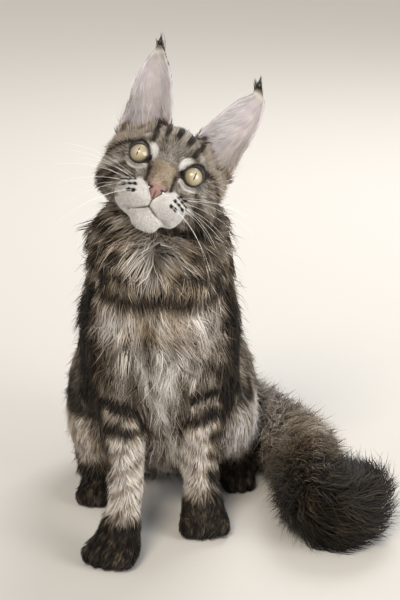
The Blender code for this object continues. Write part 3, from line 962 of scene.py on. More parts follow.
def torso_marks(p):
    """Dark collars round a buff ruff, silver down the chest, black down each side that is partly painted shade of the
    gap between foreleg and haunch, stripes on the flanks.
    """
    x, y, z = p.T
    wobble, fine = ripple(p, 26, 11), ripple(p, 9, 12)
    middle = np.interp(z, (90, 200, 300), (60, 10, -45))
    angle = np.degrees(np.abs(np.arctan2(x, middle - y)))
    marks = coat_of("grizzle", len(p))
    streaks = ripple(p * (1, 1, 0.3), 7, 14)
    collar_height = z - 8 * (x / 68) ** 2 + 2.8 * wobble + 1.8 * fine
    ruff = step(z, 205, 225) * (1 - step(angle, 85, 115))
    painted(marks, "buff", 0.85 * ruff)
    painted(marks, "cream", 0.75 * ruff * step(fine, -0.3, 0.5))
    painted(marks, "white", 0.3 * ruff * step(streaks, 0.0, 0.7))
    painted(marks, "silver", 0.7 * bell(x, -7, 12) * bell(z, 286, 16) * (y < -60))
    painted(marks, "grey", 0.8 * bell(x, -6, 15) * step(z, 252, 268))
    painted(marks, "cream", 1.3 * bell(np.abs(x), 43, 20) * bell(z, 219, 16) * (1 - step(angle, 60, 80)))
    painted(marks, "white", 0.35 * bell(np.abs(x), 43, 16) * bell(z, 219, 14) * step(fine, -0.4, 0.4))
    for height, width, strength, start in COLLARS:
        sides = step(np.abs(x + 4), start, start + 16) if start else 1.0
        band = bell(collar_height, height, width) * sides * strength * (1 - 0.35 * step(angle, 90, 120))
        painted(marks, "black", 1.25 * band)
    chest_width = np.interp(z, (60, 100, 145, 195, 215), (17, 21, 25, 36, 20))
    chest = bell(x, 0, chest_width) * (1 - step(z, 194, 212)) * (1 - step(angle, 60, 90))
    shoulder = step(np.abs(x), 30, 46) * (1 - step(z, 186, 206)) * (1 - step(angle, 60, 80))
    painted(marks, "black", 0.85 * shoulder * step(fine + 0.5 * wobble, -0.9, 0.3))
    painted(marks, "silver", 1.2 * chest)
    painted(marks, "grey", 0.85 * chest * step(ripple(p * (1, 1, 0.25), 8, 13), -0.1, 0.5))
    painted(marks, "black", 0.35 * chest * (1 - step(z, 95, 160)))
    # Painted shade in the hollows between the chest and each upper foreleg.
    painted(marks, "black", 0.85 * beside_upper_legs(p))
    painted(marks, "black", 0.6 * bell(x, -11, 5) * bell(z, 214, 13))
    band_angle = np.interp(z, (99, 130, 182, 237), (26, 34, 44, 50))
    band_width = np.interp(z, (99, 130, 182, 237), (7, 10, 14, 12))
    # The black down each side is partly the coat's own dark and partly painted shade of the gap between foreleg and
    # haunch.
    side_band_and_gap_shade = bell(angle, band_angle, band_width) * (1 - step(z, 236, 260)) * step(z, 84, 104)
    painted(marks, "black", 1.5 * side_band_and_gap_shade)
    flank = bell(angle, 74, 10) * (1 - step(z, 200, 240))
    painted(marks, "buff", 0.6 * flank * step(fine, -0.5, 0.3))
    painted(marks, "black", 0.4 * step(streaks, 0.1, 0.8))
    painted(marks, "cream", 0.35 * step(-streaks, 0.2, 0.9) * (1 - marks[:, 0]))
    stripes = step(np.cos(np.radians(angle) * 11 + 1.7 * wobble + z / 90), -0.15, 0.5)
    painted(marks, "black", 0.9 * stripes * step(angle, 84, 96))
    painted(marks, "brown", 0.5 * (1 - stripes) * step(angle, 100, 140) * step(wobble, -0.3, 0.6))
    painted(marks, "black", 0.95 * step(angle, 166, 173))
    return marks


def foreleg_marks(p):
    """Bars above, a pale front below, a dark outer side and back, and a black foot."""
    x, y, z = p.T
    marks = coat_of("cream", len(p))
    fine, wobble = ripple(p, 7, 21), ripple(p, 20, 22)
    for side, (heights, places, fronts, first_bar, spacing, dark_from) in LEG_LINES.items():
        mine = (x * side > 0).astype(float)
        outer = (x - np.interp(z, heights, places)) * side
        back = y - np.interp(z, heights, fronts)
        upper = step(z, 100, 110)
        painted(marks, "grizzle", mine * 0.4 * upper)
        painted(marks, "cream", mine * 0.5 * upper * step(fine, -0.3, 0.5))
        bars = step(np.cos((z - first_bar - 0.25 * outer + 2 * wobble) / spacing * math.tau), -0.5, 0.1)
        painted(marks, "black", mine * upper * bars)
        painted(marks, "black", mine * upper * 0.75 * step(fine, -0.2, 0.5))
        painted(marks, "black", mine * upper * step(np.abs(outer + 3), 12, 18))
        painted(marks, "silver", mine * 0.4 * (1 - upper) * step(fine, -0.3, 0.5))
        faint = step(np.cos((z - 78 + 0.5 * outer + 2.5 * wobble) / 17 * math.tau), 0.2, 0.8) * (1 - upper)
        painted(marks, "grizzle", mine * 0.75 * faint)
        ticked = step(outer + 2.5 * fine, dark_from, dark_from + 6) * (1 - upper)
        painted(marks, "black", mine * ticked * (0.72 + 0.3 * step(fine, -0.2, 0.5)))
        painted(marks, "black", mine * 0.85 * step(back + 2 * fine, 6, 16))
    painted(marks, "black", 0.97 * (1 - step(z + 2.5 * wobble, 34, 48)))
    return marks


def paw_marks(points):
    """Black, with a little brown on the toes' tops as a painted highlight that shows the toes, kept out of the gaps
    between them.
    """
    marks = coat_of("black", len(points))
    top = np.zeros(len(points))
    for name in PAW_TURN:
        across, ahead, up = on_paw(points, name)
        near = (np.abs(across) < 28) & (np.abs(ahead) < 44)
        top = np.maximum(top, near * step(ahead, 2, 14) * step(up, 8, 18))
    # The brown on the toes' tops is a painted highlight.
    painted(marks, "brown", 0.16 * top * (1 - between_toes(points)))
    return marks


def hindleg_marks(p):
    """Striped haunches, darkest in front on the right, over a cream thigh with painted light on the cat's left one,
    and a black foot.
    """
    x, y, z = p.T
    wobble, fine = ripple(p, 24, 31), ripple(p, 9, 32)
    marks = coat_of("grizzle", len(p))
    painted(marks, "cream", 0.4 * step(fine, -0.1, 0.7))
    stripes = step(np.cos((z * 0.85 - y * 0.55 + 7 * wobble) / 27 * math.tau), -0.15, 0.4)
    painted(marks, "black", 0.95 * stripes)
    right_front = step(-x, 50, 70) * step(z, 88, 98) * (1 - step(y, 40, 75))
    painted(marks, "black", 0.95 * right_front)
    bar = bell(z, 114, 8) * (1 - step(y, 25, 50)) * step(x, 40, 60)
    painted(marks, "black", 0.9 * bar)
    top = np.where(x > 0, 100, 91)
    thigh = (1 - step(z, top - 4, top + 6)) * (1 - step(y, 44, 74))
    painted(marks, "cream", 0.95 * thigh)
    # The extra white on the cat's left thigh alone is painted light: it lifts the side that the lamps leave in shade.
    painted(marks, "white", 0.55 * thigh * step(x, 0, 20))
    painted(marks, "buff", 0.6 * thigh * step(fine, -0.5, 0.5))
    painted(marks, "brown", 0.45 * thigh * step(ripple(p * (1, 1, 0.4), 5, 33), 0.2, 0.9))
    painted(marks, "black", 0.97 * (1 - step(z + 3 * wobble, 38, 50)))
    return marks


def tail_marks(p):
    """Grizzled at the root with rings, then dark brown, and black at the tip."""
    share, _, _ = tail_place(p)
    wobble, fine = ripple(p, 22, 41), ripple(p, 9, 42)
    marks = coat_of("grizzle", len(p))
    painted(marks, "brown", 0.3 + 0.3 * fine)
    root = 1 - step(share + 0.04 * fine, 0.42, 0.54)
    painted(marks, "cream", 0.95 * root * step(fine + wobble, -1.3, -0.2))
    painted(marks, "buff", 0.6 * root * step(-fine, -0.4, 0.6))
    rings = step(np.cos(share * 8.2 * math.tau + 1.0 * wobble), 0.1, 0.8)
    painted(marks, "black", 0.85 * rings * (1 - 0.75 * root))
    painted(marks, "brown", 0.8 * (1 - root))
    painted(marks, "black", 0.8 * step(share, 0.5, 0.64))
    painted(marks, "black", 1.05 * step(share, 0.66, 0.76))
    return marks


def ear_marks(head_points, facing_in):
    """Pale grey-pink inside, grizzled outside with a dark tip."""
    x, y, z = head_points.T
    marks = coat_of("grizzle", len(head_points))
    painted(marks, "black", 0.8 * step(z, 88, 104))
    painted(marks, "black", 0.3 * ripple(head_points, 14, 51))
    inside = np.array((0.12, 0.62, 0.10))
    mask = np.clip(facing_in, 0, 1)[:, None] * (1 - 0.85 * step(z, 103, 109))[:, None]
    marks += mask * (inside - marks)
    return marks


def marks_at(points, shares, facing_in):
    """The dark, pale and warm shares of the coat at points of the frame."""
    body_points, head_points = to_body(points), to_head(points)

    def weight(*starts):
        columns = [number for number, name in enumerate(PARTS) if name.startswith(starts)]
        return shares[:, columns].sum(axis=1)[:, None]

    marks = torso_marks(body_points) * weight("neck", "trunk")
    marks += foreleg_marks(body_points) * weight("foreleg")
    marks += hindleg_marks(body_points) * weight("hindleg")
    marks += paw_marks(points) * weight("forepaw", "hindpaw")
    marks += tail_marks(body_points) * weight("tail")
    marks += head_marks(head_points) * weight("head")
    marks += ear_marks(head_points, facing_in) * weight("ear")
    return np.clip(marks, 0, 1)


def ear_facing(head_points, outward):
    """1 where an ear's skin faces forwards, into the cup, and 0 on its back."""
    forwards = -(outward @ HEAD_AXES)[:, 1]
    return step(forwards, -0.15, 0.25)


FACING_IN = np.maximum(ear_facing(HEAD, OUTWARD), hollow) * step(ear_share, 0.3, 0.8)
SKIN_MARKS = marks_at(SKIN, SHARES, FACING_IN)
print("average dark, pale, warm:", np.round(SKIN_MARKS.mean(axis=0), 2))

# %% [markdown]
# ## Materials of skin and coat
# Both read the same three masks, so one node group mixes the hair colours for both. Grey hair goes to ochre by the
# warm mask, then to white by the pale one, and black last. A second attribute says how far along its tuft a point
# is and how bright that tuft is, because no two locks are alike and hair is darker at its root: partly the grey
# undercoat, partly painted shade that the coat casts on its own roots.

# %% A small helper for building node trees


def link_nodes(tree, *pairs):
    for output, socket in pairs:
        tree.links.new(output, socket)


def linear(code):
    """A colour written as six hexadecimal digits, as the linear numbers that shaders use."""
    values = [int(code[start:start + 2], 16) / 255 for start in (0, 2, 4)]
    return tuple(value / 12.92 if value <= 0.04045 else ((value + 0.055) / 1.055) ** 2.4 for value in values) + (1,)


def mixer(tree, kind="RGBA", blend="MIX"):
    node = tree.nodes.new("ShaderNodeMix")
    node.data_type = kind
    node.blend_type = blend
    return node


def math_node(tree, operation, first=None, second=None, third=None, clamp=False):
    node = tree.nodes.new("ShaderNodeMath")
    node.operation = operation
    node.use_clamp = clamp
    for socket, value in zip(node.inputs, (first, second, third)):
        if value is None:
            continue
        if isinstance(value, (int, float)):
            socket.default_value = value
        else:
            tree.links.new(value, socket)
    return node.outputs[0]


HAIR = {"Grey": "968876", "Ochre": "b5925f", "White": "f4f1ee", "Black": "0d0806"}

# %% The group that mixes the hair colours


def hair_group():
    tree = bpy.data.node_groups.new("hair colour", "ShaderNodeTree")
    for name, code in HAIR.items():
        socket = tree.interface.new_socket(name, in_out="INPUT", socket_type="NodeSocketColor")
        socket.default_value = linear(code)
    tree.interface.new_socket("Root shade", in_out="INPUT", socket_type="NodeSocketFloat").default_value = 0.55
    tree.interface.new_socket("Colour", in_out="OUTPUT", socket_type="NodeSocketColor")
    tree.interface.new_socket("Roughness", in_out="OUTPUT", socket_type="NodeSocketFloat")
    start, end = tree.nodes.new("NodeGroupInput"), tree.nodes.new("NodeGroupOutput")
    marks, strand = tree.nodes.new("ShaderNodeAttribute"), tree.nodes.new("ShaderNodeAttribute")
    marks.attribute_name, strand.attribute_name = "marks", "strand"
    mask, hair = tree.nodes.new("ShaderNodeSeparateXYZ"), tree.nodes.new("ShaderNodeSeparateXYZ")
    link_nodes(tree, (marks.outputs["Vector"], mask.inputs[0]), (strand.outputs["Vector"], hair.inputs[0]))
    warm, pale, dark = mixer(tree), mixer(tree), mixer(tree)
    link_nodes(
        tree,
        (mask.outputs[2], warm.inputs["Factor"]), (start.outputs["Grey"], warm.inputs[6]),
        (start.outputs["Ochre"], warm.inputs[7]), (mask.outputs[1], pale.inputs["Factor"]),
        (warm.outputs[2], pale.inputs[6]), (start.outputs["White"], pale.inputs[7]),
        (mask.outputs[0], dark.inputs["Factor"]), (pale.outputs[2], dark.inputs[6]),
        (start.outputs["Black"], dark.inputs[7]),
    )
    # The root shade darkens each tuft towards its root: partly the grey undercoat, partly painted shade of the coat
    # over the roots.
    lift = math_node(tree, "POWER", hair.outputs[0], 0.7)
    rest = math_node(tree, "SUBTRACT", 1.0, start.outputs["Root shade"])
    shade = math_node(tree, "MULTIPLY_ADD", lift, rest, start.outputs["Root shade"])
    bright = math_node(tree, "MULTIPLY_ADD", hair.outputs[1], 0.5, 0.75)
    both = math_node(tree, "MULTIPLY", shade, bright)
    scaled = tree.nodes.new("ShaderNodeVectorMath")
    scaled.operation = "SCALE"
    link_nodes(tree, (dark.outputs[2], scaled.inputs[0]), (both, scaled.inputs["Scale"]))
    rough = math_node(tree, "MULTIPLY_ADD", hair.outputs[2], 0.2, 0.5)
    link_nodes(tree, (scaled.outputs[0], end.inputs["Colour"]), (rough, end.inputs["Roughness"]))
    return tree


HAIR_GROUP = hair_group()


def new_material(name):
    material = bpy.data.materials.new(name)
    material.use_nodes = True
    return material, material.node_tree, material.node_tree.nodes["Principled BSDF"]


def coat_material(name, root_shade, sheen):
    material, tree, shader = new_material(name)
    group = tree.nodes.new("ShaderNodeGroup")
    group.node_tree = HAIR_GROUP
    group.inputs["Root shade"].default_value = root_shade
    shader.inputs["Specular IOR Level"].default_value = 0.22
    shader.inputs["Sheen Weight"].default_value = sheen
    shader.inputs["Sheen Roughness"].default_value = 0.45
    link_nodes(
        tree, (group.outputs["Colour"], shader.inputs["Base Color"]), (group.outputs["Roughness"], shader.inputs["Roughness"])
    )
    return material, tree, shader, group


COAT_MATERIAL, _, _, _ = coat_material("coat", 0.3, 0.03)
print("hair colours:", ", ".join(HAIR))

# %% The skin's own material: the same hair colours over bare skin inside the ears, with a fine bump


def skin_material():
    material, tree, shader, group = coat_material("skin under the coat", 0.6, 0.05)
    bare, ear_light = tree.nodes.new("ShaderNodeAttribute"), mixer(tree)
    bare.attribute_name = "bare"
    place_node = tree.nodes.new("ShaderNodeTexCoord")
    veins, down = tree.nodes.new("ShaderNodeTexNoise"), tree.nodes.new("ShaderNodeTexNoise")
    veins.inputs["Scale"].default_value = 60
    veins.inputs["Detail"].default_value = 4
    down.inputs["Scale"].default_value = 900
    down.inputs["Detail"].default_value = 3
    tone = tree.nodes.new("ShaderNodeValToRGB")
    tone.color_ramp.elements[0].position, tone.color_ramp.elements[0].color = 0.3, linear("aaa0a5")
    tone.color_ramp.elements[1].position, tone.color_ramp.elements[1].color = 0.75, linear("d0c9cb")
    bump = tree.nodes.new("ShaderNodeBump")
    bump.inputs["Strength"].default_value = 0.5
    bump.inputs["Distance"].default_value = 0.0006
    link_nodes(
        tree,
        (place_node.outputs["Object"], veins.inputs["Vector"]), (place_node.outputs["Object"], down.inputs["Vector"]),
        (veins.outputs["Fac"], tone.inputs["Fac"]), (bare.outputs["Fac"], ear_light.inputs["Factor"]),
        (group.outputs["Colour"], ear_light.inputs[6]), (tone.outputs["Color"], ear_light.inputs[7]),
        (ear_light.outputs[2], shader.inputs["Base Color"]), (down.outputs["Fac"], bump.inputs["Height"]),
        (bump.outputs["Normal"], shader.inputs["Normal"]),
    )
    return material


def store(mesh, name, values):
    """Writes one value or one vector for each point of a mesh."""
    kind = "FLOAT" if values.ndim == 1 else "FLOAT_VECTOR"
    layer = mesh.attributes.new(name, kind, "POINT")
    layer.data.foreach_set("value" if values.ndim == 1 else "vector", values.astype(np.float32).ravel())


# The skin counts as a quarter of the way up a tuft, so the root shade darkens it too, as painted shade of the coat
# above it.
strand = np.stack((np.full(len(SKIN), 0.25), 0.5 + 0.25 * ripple(BODY, 3, 5), np.full(len(SKIN), 0.8)), axis=1)
store(skin.data, "marks", SKIN_MARKS)
store(skin.data, "strand", strand)
store(skin.data, "bare", FACING_IN * (1 - step(HEAD[:, 2], 94, 101)))
skin.data.materials.clear()
skin.data.materials.append(skin_material())
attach(skin, "root")
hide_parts(*FLESH_NODES)
print("skin replaces", len(FLESH_NODES), "nodes")

# %% [markdown]
# ## Growing tufts
# A tuft is a thin closed blade: triangular rings that taper to a tip, only a few dozen faces, so that a hundred
# thousand of them can be joined. Its path is combed step by step: it moves along the lie of the coat, looks up the
# nearest skin, and keeps to the height that the coat has there, so it hugs the body and the tips make the outline.
# Tufts are gathered into locks by pulling each one's tip towards that of a neighbour that leads it. All of it is
# done on arrays, for thousands of tufts at once.

# %% Choosing where tufts grow
mesh = skin.data
mesh.calc_loop_triangles()
flat = np.empty(len(mesh.loop_triangles) * 3, dtype=np.int32)
mesh.loop_triangles.foreach_get("vertices", flat)
TRIANGLES = flat.reshape(-1, 3)
edge_a = SKIN[TRIANGLES[:, 1]] - SKIN[TRIANGLES[:, 0]]
edge_b = SKIN[TRIANGLES[:, 2]] - SKIN[TRIANGLES[:, 0]]
AREAS = np.linalg.norm(np.cross(edge_a, edge_b), axis=1) / 2
skin_tree = KDTree(len(SKIN))
for number, point in enumerate(SKIN):
    skin_tree.insert(point, number)
skin_tree.balance()


def scattered(density, count, seed):
    """Triangles and corner weights of roots, spread by area times density."""
    dice = np.random.default_rng(seed)
    weight = AREAS * density[TRIANGLES].mean(axis=1)
    total = np.cumsum(weight)
    ticks = (np.arange(count) + dice.random(count)) / count * total[-1]
    chosen = np.minimum(np.searchsorted(total, ticks), len(TRIANGLES) - 1)
    first, second = dice.random(count), dice.random(count)
    over = first + second > 1
    first[over], second[over] = 1 - first[over], 1 - second[over]
    corners = np.stack((1 - first - second, first, second), axis=1)
    return TRIANGLES[chosen], corners


def blended(values, triangles, corners):
    """A field of the skin, read at the roots."""
    if values.ndim == 1:
        return (values[triangles] * corners).sum(axis=1)
    return (values[triangles] * corners[:, :, None]).sum(axis=1)


def nearest_skin(points):
    find = skin_tree.find
    return np.array([find(point)[1] for point in points])


print("skin area", round(AREAS.sum() * 1e4), "square cm")

# %% Combing the paths of tufts


def swung(directions, outward, angle):
    """Directions turned about the skin's normal by an angle each."""
    sideways = np.cross(outward, directions)
    return directions * np.cos(angle)[:, None] + sideways * np.sin(angle)[:, None]


def combed(roots, outward, lie, length, depth, joints, swing):
    """Paths of tufts from root to tip, with joints stretches each, that keep to the coat's height."""
    path = [roots - outward * 0.5 * MM]
    along = swung(lie, outward, swing)
    for joint in range(1, joints + 1):
        share = joint / joints
        stretch = (length * MM / joints)[:, None]
        goal = path[-1] + along * stretch
        near = nearest_skin(goal)
        up = OUTWARD[near]
        height = np.sum((goal - SKIN[near]) * up, axis=1)
        wanted = depth * MM * (1 - (1 - share) ** 1.7)
        goal += up * (wanted - height)[:, None]
        path.append(path[-1] + unit(goal - path[-1]) * stretch)
        along = laid_flat(0.35 * along + 0.65 * swung(LIE[near], up, swing), up)
    return np.stack(path, axis=1)


def gathered(path, roots, lock_size, pull, seed):
    """Pulls tufts towards the neighbour that leads their lock, most at the tip. Also gives each tuft's leader."""
    dice = np.random.default_rng(seed)
    count, joints = len(path), path.shape[1] - 1
    leaders = np.sort(dice.choice(count, max(count // lock_size, 1), replace=False))
    tree = KDTree(len(leaders))
    for number, leader in enumerate(leaders):
        tree.insert(roots[leader], number)
    tree.balance()
    mine = leaders[np.array([tree.find(root)[1] for root in roots])]
    share = (np.arange(joints + 1) / joints)[None, :, None]
    strength = pull[:, None, None] * share ** 0.8
    return path + strength * (path[mine] - path), mine


def waved(path, outward, amount, phase, turns=1.1):
    """Bends each path from side to side."""
    joints = path.shape[1] - 1
    share = np.arange(joints + 1) / joints
    sideways = unit(np.cross(outward, path[:, -1] - path[:, 0]))
    swing = np.sin(share[None, :] * turns * math.tau + phase[:, None]) * share[None, :]
    return path + sideways[:, None, :] * (swing * amount[:, None] * MM)[:, :, None]


# %% Turning paths into joined blades
BLADE = {1: (1.0,), 2: (0.85, 0.9), 3: (0.7, 1.0, 0.7), 6: (0.8, 1, 1, 0.9, 0.75, 0.5), 12: (1.0,) * 4 + (0.85,) * 4 + (0.6,) * 4}


def blade_faces(rings):
    """Corners of one blade's triangles: a root cap, the sides between rings, and the tip."""
    faces = [(0, 2, 1)]
    for ring in range(rings - 1):
        for corner in range(3):
            a, b = 3 * ring + corner, 3 * ring + (corner + 1) % 3
            faces += [(a, b, a + 3), (b, b + 3, a + 3)]
    last, tip = 3 * (rings - 1), 3 * rings
    faces += [(last + corner, last + (corner + 1) % 3, tip) for corner in range(3)]
    return np.array(faces)


def ring_frames(path, outward):
    """Sideways and upward directions at each joint of each path."""
    before, after = path[:, :-1], path[:, 1:]
    stretch = unit(after - before)
    ahead = np.concatenate((stretch[:, :1], unit(stretch[:, 1:] + stretch[:, :-1]), stretch[:, -1:]), axis=1)
    sideways = unit(np.cross(ahead, outward[:, None, :]))
    return sideways, np.cross(sideways, ahead)


def mesh_of(name, points, faces):
    """A mesh from arrays of points and triangles."""
    mesh = bpy.data.meshes.new(name)
    mesh.vertices.add(len(points))
    mesh.vertices.foreach_set("co", points.astype(np.float32).ravel())
    mesh.loops.add(faces.size)
    mesh.loops.foreach_set("vertex_index", faces.astype(np.int32).ravel())
    mesh.polygons.add(len(faces))
    mesh.polygons.foreach_set("loop_start", np.arange(0, faces.size, 3, dtype=np.int32))
    mesh.update(calc_edges=True)
    return mesh


def blades(name, path, outward, width, root_uv, marks, strand, material, softness=1.1):
    """Joins one blade for each path, with its markings, its bake patch and normals softened towards the coat's."""
    count, rings = len(path), path.shape[1] - 1
    path = path.copy()
    path[:, :, 2] = np.maximum(path[:, :, 2], 0.35 * MM)
    sideways, upward = ring_frames(path, outward)
    profile = np.array(BLADE[rings])[None, :, None] * width[:, None, None] * MM
    centre, side, up = path[:, :rings], sideways[:, :rings], upward[:, :rings]
    left = centre - side * profile * 0.5
    right = centre + side * profile * 0.5
    top = centre + up * profile * 0.38
    corners = np.stack((left, top, right), axis=2).reshape(count, rings * 3, 3)
    points = np.concatenate((corners, path[:, rings:]), axis=1)
    points[:, :, 2] = np.maximum(points[:, :, 2], 0.2 * MM)
    faces = blade_faces(rings)
    all_faces = (faces[None] + (np.arange(count) * (3 * rings + 1))[:, None, None]).reshape(-1, 3)
    mesh = mesh_of(name, points.reshape(-1, 3), all_faces)
    base = outward[:, None, :] * softness
    looks = np.stack((base - side * 0.8 + up * 0.2, base + up, base + side * 0.8 + up * 0.2), axis=2)
    looks = np.concatenate((looks.reshape(count, rings * 3, 3), base + upward[:, rings:] * 0.6), axis=1)
    mesh.normals_split_custom_set_from_vertices(unit(looks).reshape(-1, 3))
    share = np.repeat(np.arange(rings) / rings, 3)
    share = np.concatenate((share, (1.0,)))
    across = np.concatenate((np.tile((0.0, 0.5, 1.0), rings), (0.5,)))
    patch = np.stack((across - 0.5, share - 0.5), axis=1) * 0.003
    uv = (root_uv[:, None, :] + patch[None]).reshape(-1, 2)
    layer = mesh.uv_layers.new(name="OFBake")
    layer.data.foreach_set("uv", uv[all_faces.ravel()].astype(np.float32).ravel())
    along = np.tile(share, count)
    tuft_strand = np.repeat(strand, len(share), axis=0)
    store(mesh, "strand", np.stack((along, tuft_strand[:, 0], tuft_strand[:, 1]), axis=1))
    if marks.ndim == 2:
        marks = np.repeat(marks[:, None], rings + 1, axis=1)
    tuft_marks = np.concatenate((np.repeat(marks[:, :rings], 3, axis=1), marks[:, rings:]), axis=1).reshape(-1, 3)
    ticking = np.repeat(strand[:, 2], len(share)) * step(along, 0.6, 1.0)
    tuft_marks[:, 0] = np.maximum(tuft_marks[:, 0], ticking)
    store(mesh, "marks", tuft_marks)
    mesh.materials.append(material)
    obj = bpy.data.objects.new(name, mesh)
    bpy.context.scene.collection.objects.link(obj)
    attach(obj, "root")
    return obj


# %% [markdown]
# ## An unwrap of the skin for baking
# Every tuft gets its own small patch of one picture in the OFBake UV map. An exported part keeps its colours in
# one picture, so every tuft needs its own small patch of it. The patches lie where the roots are on an unwrap of
# the skin: round and up a leg or the body, along and round the tail, and by compass and height on the head.
# Neighbouring tufts then have neighbouring patches with nearly the same colour.

# %% Unwraps of the parts


def fitted_square(across, up, low=0.01, high=0.99):
    columns = []
    for values in (across, up):
        start, end = values.min(), values.max()
        columns.append(low + (high - low) * (values - start) / max(end - start, 1e-6))
    return np.stack(columns, axis=1)


def round_the_head(points):
    x, y, z = (to_head(points) - (0, 42, -8)).T
    return fitted_square(np.arctan2(x, -y), np.arctan2(z, np.hypot(x, y)))


def round_the_body(points):
    x, y, z = to_body(points).T
    middle = np.interp(z, (0, 90, 200, 300), (70, 60, 10, -45))
    return fitted_square(np.arctan2(x, middle - y), z)


def on_both_sides(points, left_middle, right_middle, head_axes=False):
    """Two upright unwraps side by side, for pairs of legs, paws or ears."""
    local = to_head(points) if head_axes else to_body(points)
    uv = np.zeros((len(points), 2))
    for side, middle in ((LEFT, left_middle), (RIGHT, right_middle)):
        mine = local[:, 0] * side > 0
        if mine.any():
            x, y, z = (local[mine] - (*middle, 0)).T
            square = fitted_square(np.arctan2(x, -y), z)
            uv[mine] = square * (0.49, 1) + (0.0 if side == LEFT else 0.5, 0)
    return uv


def round_the_tail(points):
    body_points = to_body(points)
    share, along, middle = tail_place(body_points)
    away = body_points - middle
    sideways = unit(np.cross(along, (0, 0, 1)))
    return fitted_square(np.arctan2(np.sum(away * sideways, axis=1), away[:, 2]), share)


# %% Growing one piece of the coat
PIECES = []


def toned(marks, leaders, tick, dice):
    """Varies the markings by lock and by tuft, and picks the tufts with dark tips. Gives marks and strands."""
    count = len(marks)
    lock, single = dice.normal(0, 1, (count, 1))[leaders], dice.normal(0, 1, (count, 1))
    vary = 0.2 + 3.2 * marks[:, :, 0] * (1 - marks[:, :, 0]) * (1 - 0.7 * marks[:, :, 1])
    marks[:, :, 0] += vary * (0.22 * lock + 0.18 * single)
    marks[:, :, 1] -= 0.14 * vary * lock + dice.normal(0, 0.07, (count, 1))
    marks[:, :, 2] += dice.normal(0, 0.1, (count, 1))
    marks = np.clip(marks, 0, 1)
    bright = np.clip(0.5 + 0.22 * dice.normal(0, 1, count)[leaders] + 0.2 * dice.normal(0, 1, count), 0, 1)
    ticking = (dice.random(count) < tick) * np.clip(vary[:, -1], 0, 1) * dice.uniform(0.5, 1, count)
    return marks, np.stack((bright, dice.random(count), ticking), axis=1)


TIP_TONE = 0.8


def marks_along(path, shares, facing_in):
    """The markings at each joint of each path, read a little nearer to the root, where the hair grew."""
    count, joints = path.shape[:2]
    nearness = TIP_TONE if joints > 2 else 0.3
    spots = path[:, :1] + nearness * (path - path[:, :1])
    marks = marks_at(spots.reshape(-1, 3), np.repeat(shares, joints, axis=0), np.repeat(facing_in, joints))
    return marks.reshape(count, joints, 3)


def above_skin(points, depth):
    """Lifts points that a hollow of the skin would bury to a third of the coat's height."""
    near = nearest_skin(points)
    height = np.sum((points - SKIN[near]) * OUTWARD[near], axis=1)
    return points + OUTWARD[near] * np.maximum(depth * MM / 3 - height, 0)[:, None]


def grown(name, count, density, rings, unwrap, seed, lock=9, pull=0.45, tick=0.6, wild=0.06, **change):
    """Grows a piece of the coat where its density says, by the coat's facts at each root. What the rest of the
    settings change: stretch, thin and stand scale length, width and height, unruly the turns of the locks, bias
    turns all tufts by an angle for each side, and finish gives one finish to all."""
    dice = np.random.default_rng(seed)
    triangles, corners = scattered(density, count, seed)
    roots = blended(SKIN, triangles, corners)
    outward = unit(blended(OUTWARD, triangles, corners))
    lie = laid_flat(blended(LIE, triangles, corners), outward)
    facts = blended(COAT, triangles, corners)
    shares = blended(SHARES, triangles, corners)
    loose = dice.random(count) < wild
    length = facts[:, 1] * change.get("stretch", 1) * dice.uniform(0.72, 1.18, count)
    depth = facts[:, 0] * change.get("stand", 1) * dice.uniform(0.5, 1.15, count) * (1 + 0.7 * loose)
    width = facts[:, 2] * change.get("thin", 1) * dice.uniform(0.7, 1.25, count) * (1 - 0.45 * loose)
    body_points = to_body(roots)
    unruly = change.get("unruly", 1)
    swing = unruly * (0.34 * ripple(body_points, 26, seed + 1) + dice.normal(0, 0.14, count))
    swing += loose * dice.normal(0, 0.4, count)
    swing += change.get("bias", 0) * np.sign(to_head(roots)[:, 0])
    if rings == 1:
        lift = np.clip(depth / length, 0.12, 0.75)[:, None]
        along = swung(lie, outward, swing)
        tips = above_skin(roots + unit(along + outward * lift) * (length * MM)[:, None], depth)
        path = np.stack((roots - outward * 0.3 * MM, tips), axis=1)
        leaders = np.arange(count)
    else:
        path = combed(roots, outward, lie, length, depth, rings, swing)
        path, leaders = gathered(path, roots, lock, pull * ~loose, seed + 2)
        phase = (dice.uniform(0, math.tau, count))[leaders] + dice.normal(0, 0.35, count)
        path = waved(path, outward, facts[:, 3] * dice.uniform(0.5, 1.2, count), phase)
    marks = marks_along(path, shares, blended(FACING_IN, triangles, corners))
    if "finish" in change:
        marks = np.repeat(coat_of(change["finish"], count)[:, None], path.shape[1], axis=1)
    marks, strand = toned(marks, leaders, tick, dice)
    piece = blades(name, path, outward, width, unwrap(roots), marks, strand, COAT_MATERIAL)
    PIECES.append(piece)
    print(name, "has", count, "tufts and", len(piece.data.polygons), "triangles")
    return piece


# %% Where each piece of the coat grows


def clear_of_openings(head_points):
    """0 on the eyeballs with a band of the upper lids, and on the nose leather, 1 elsewhere."""
    clear = np.ones(len(head_points))
    for side in (LEFT, RIGHT):
        eye = to_eye(head_points, side)
        share, angle = lid_share(eye)
        near = np.linalg.norm(eye, axis=1) < 16
        # The wider bare band above and towards the ear lets the black painted skin show there, partly as painted shade
        # under the upper lid.
        clear[near & (share < 1.12 + 0.26 * bell(angle, math.radians(60), 0.75))] = 0
    across, up = muzzle_plane(head_points)
    half_width = np.interp(up, (-40, -37, -27, -24), (1.3, 3.1, 9.6, 8.4))
    leather = (np.abs(across) < half_width) & (up < -23.5) & (up > -40) & (head_points[:, 1] < -18)
    clear[leather] = 0
    return clear


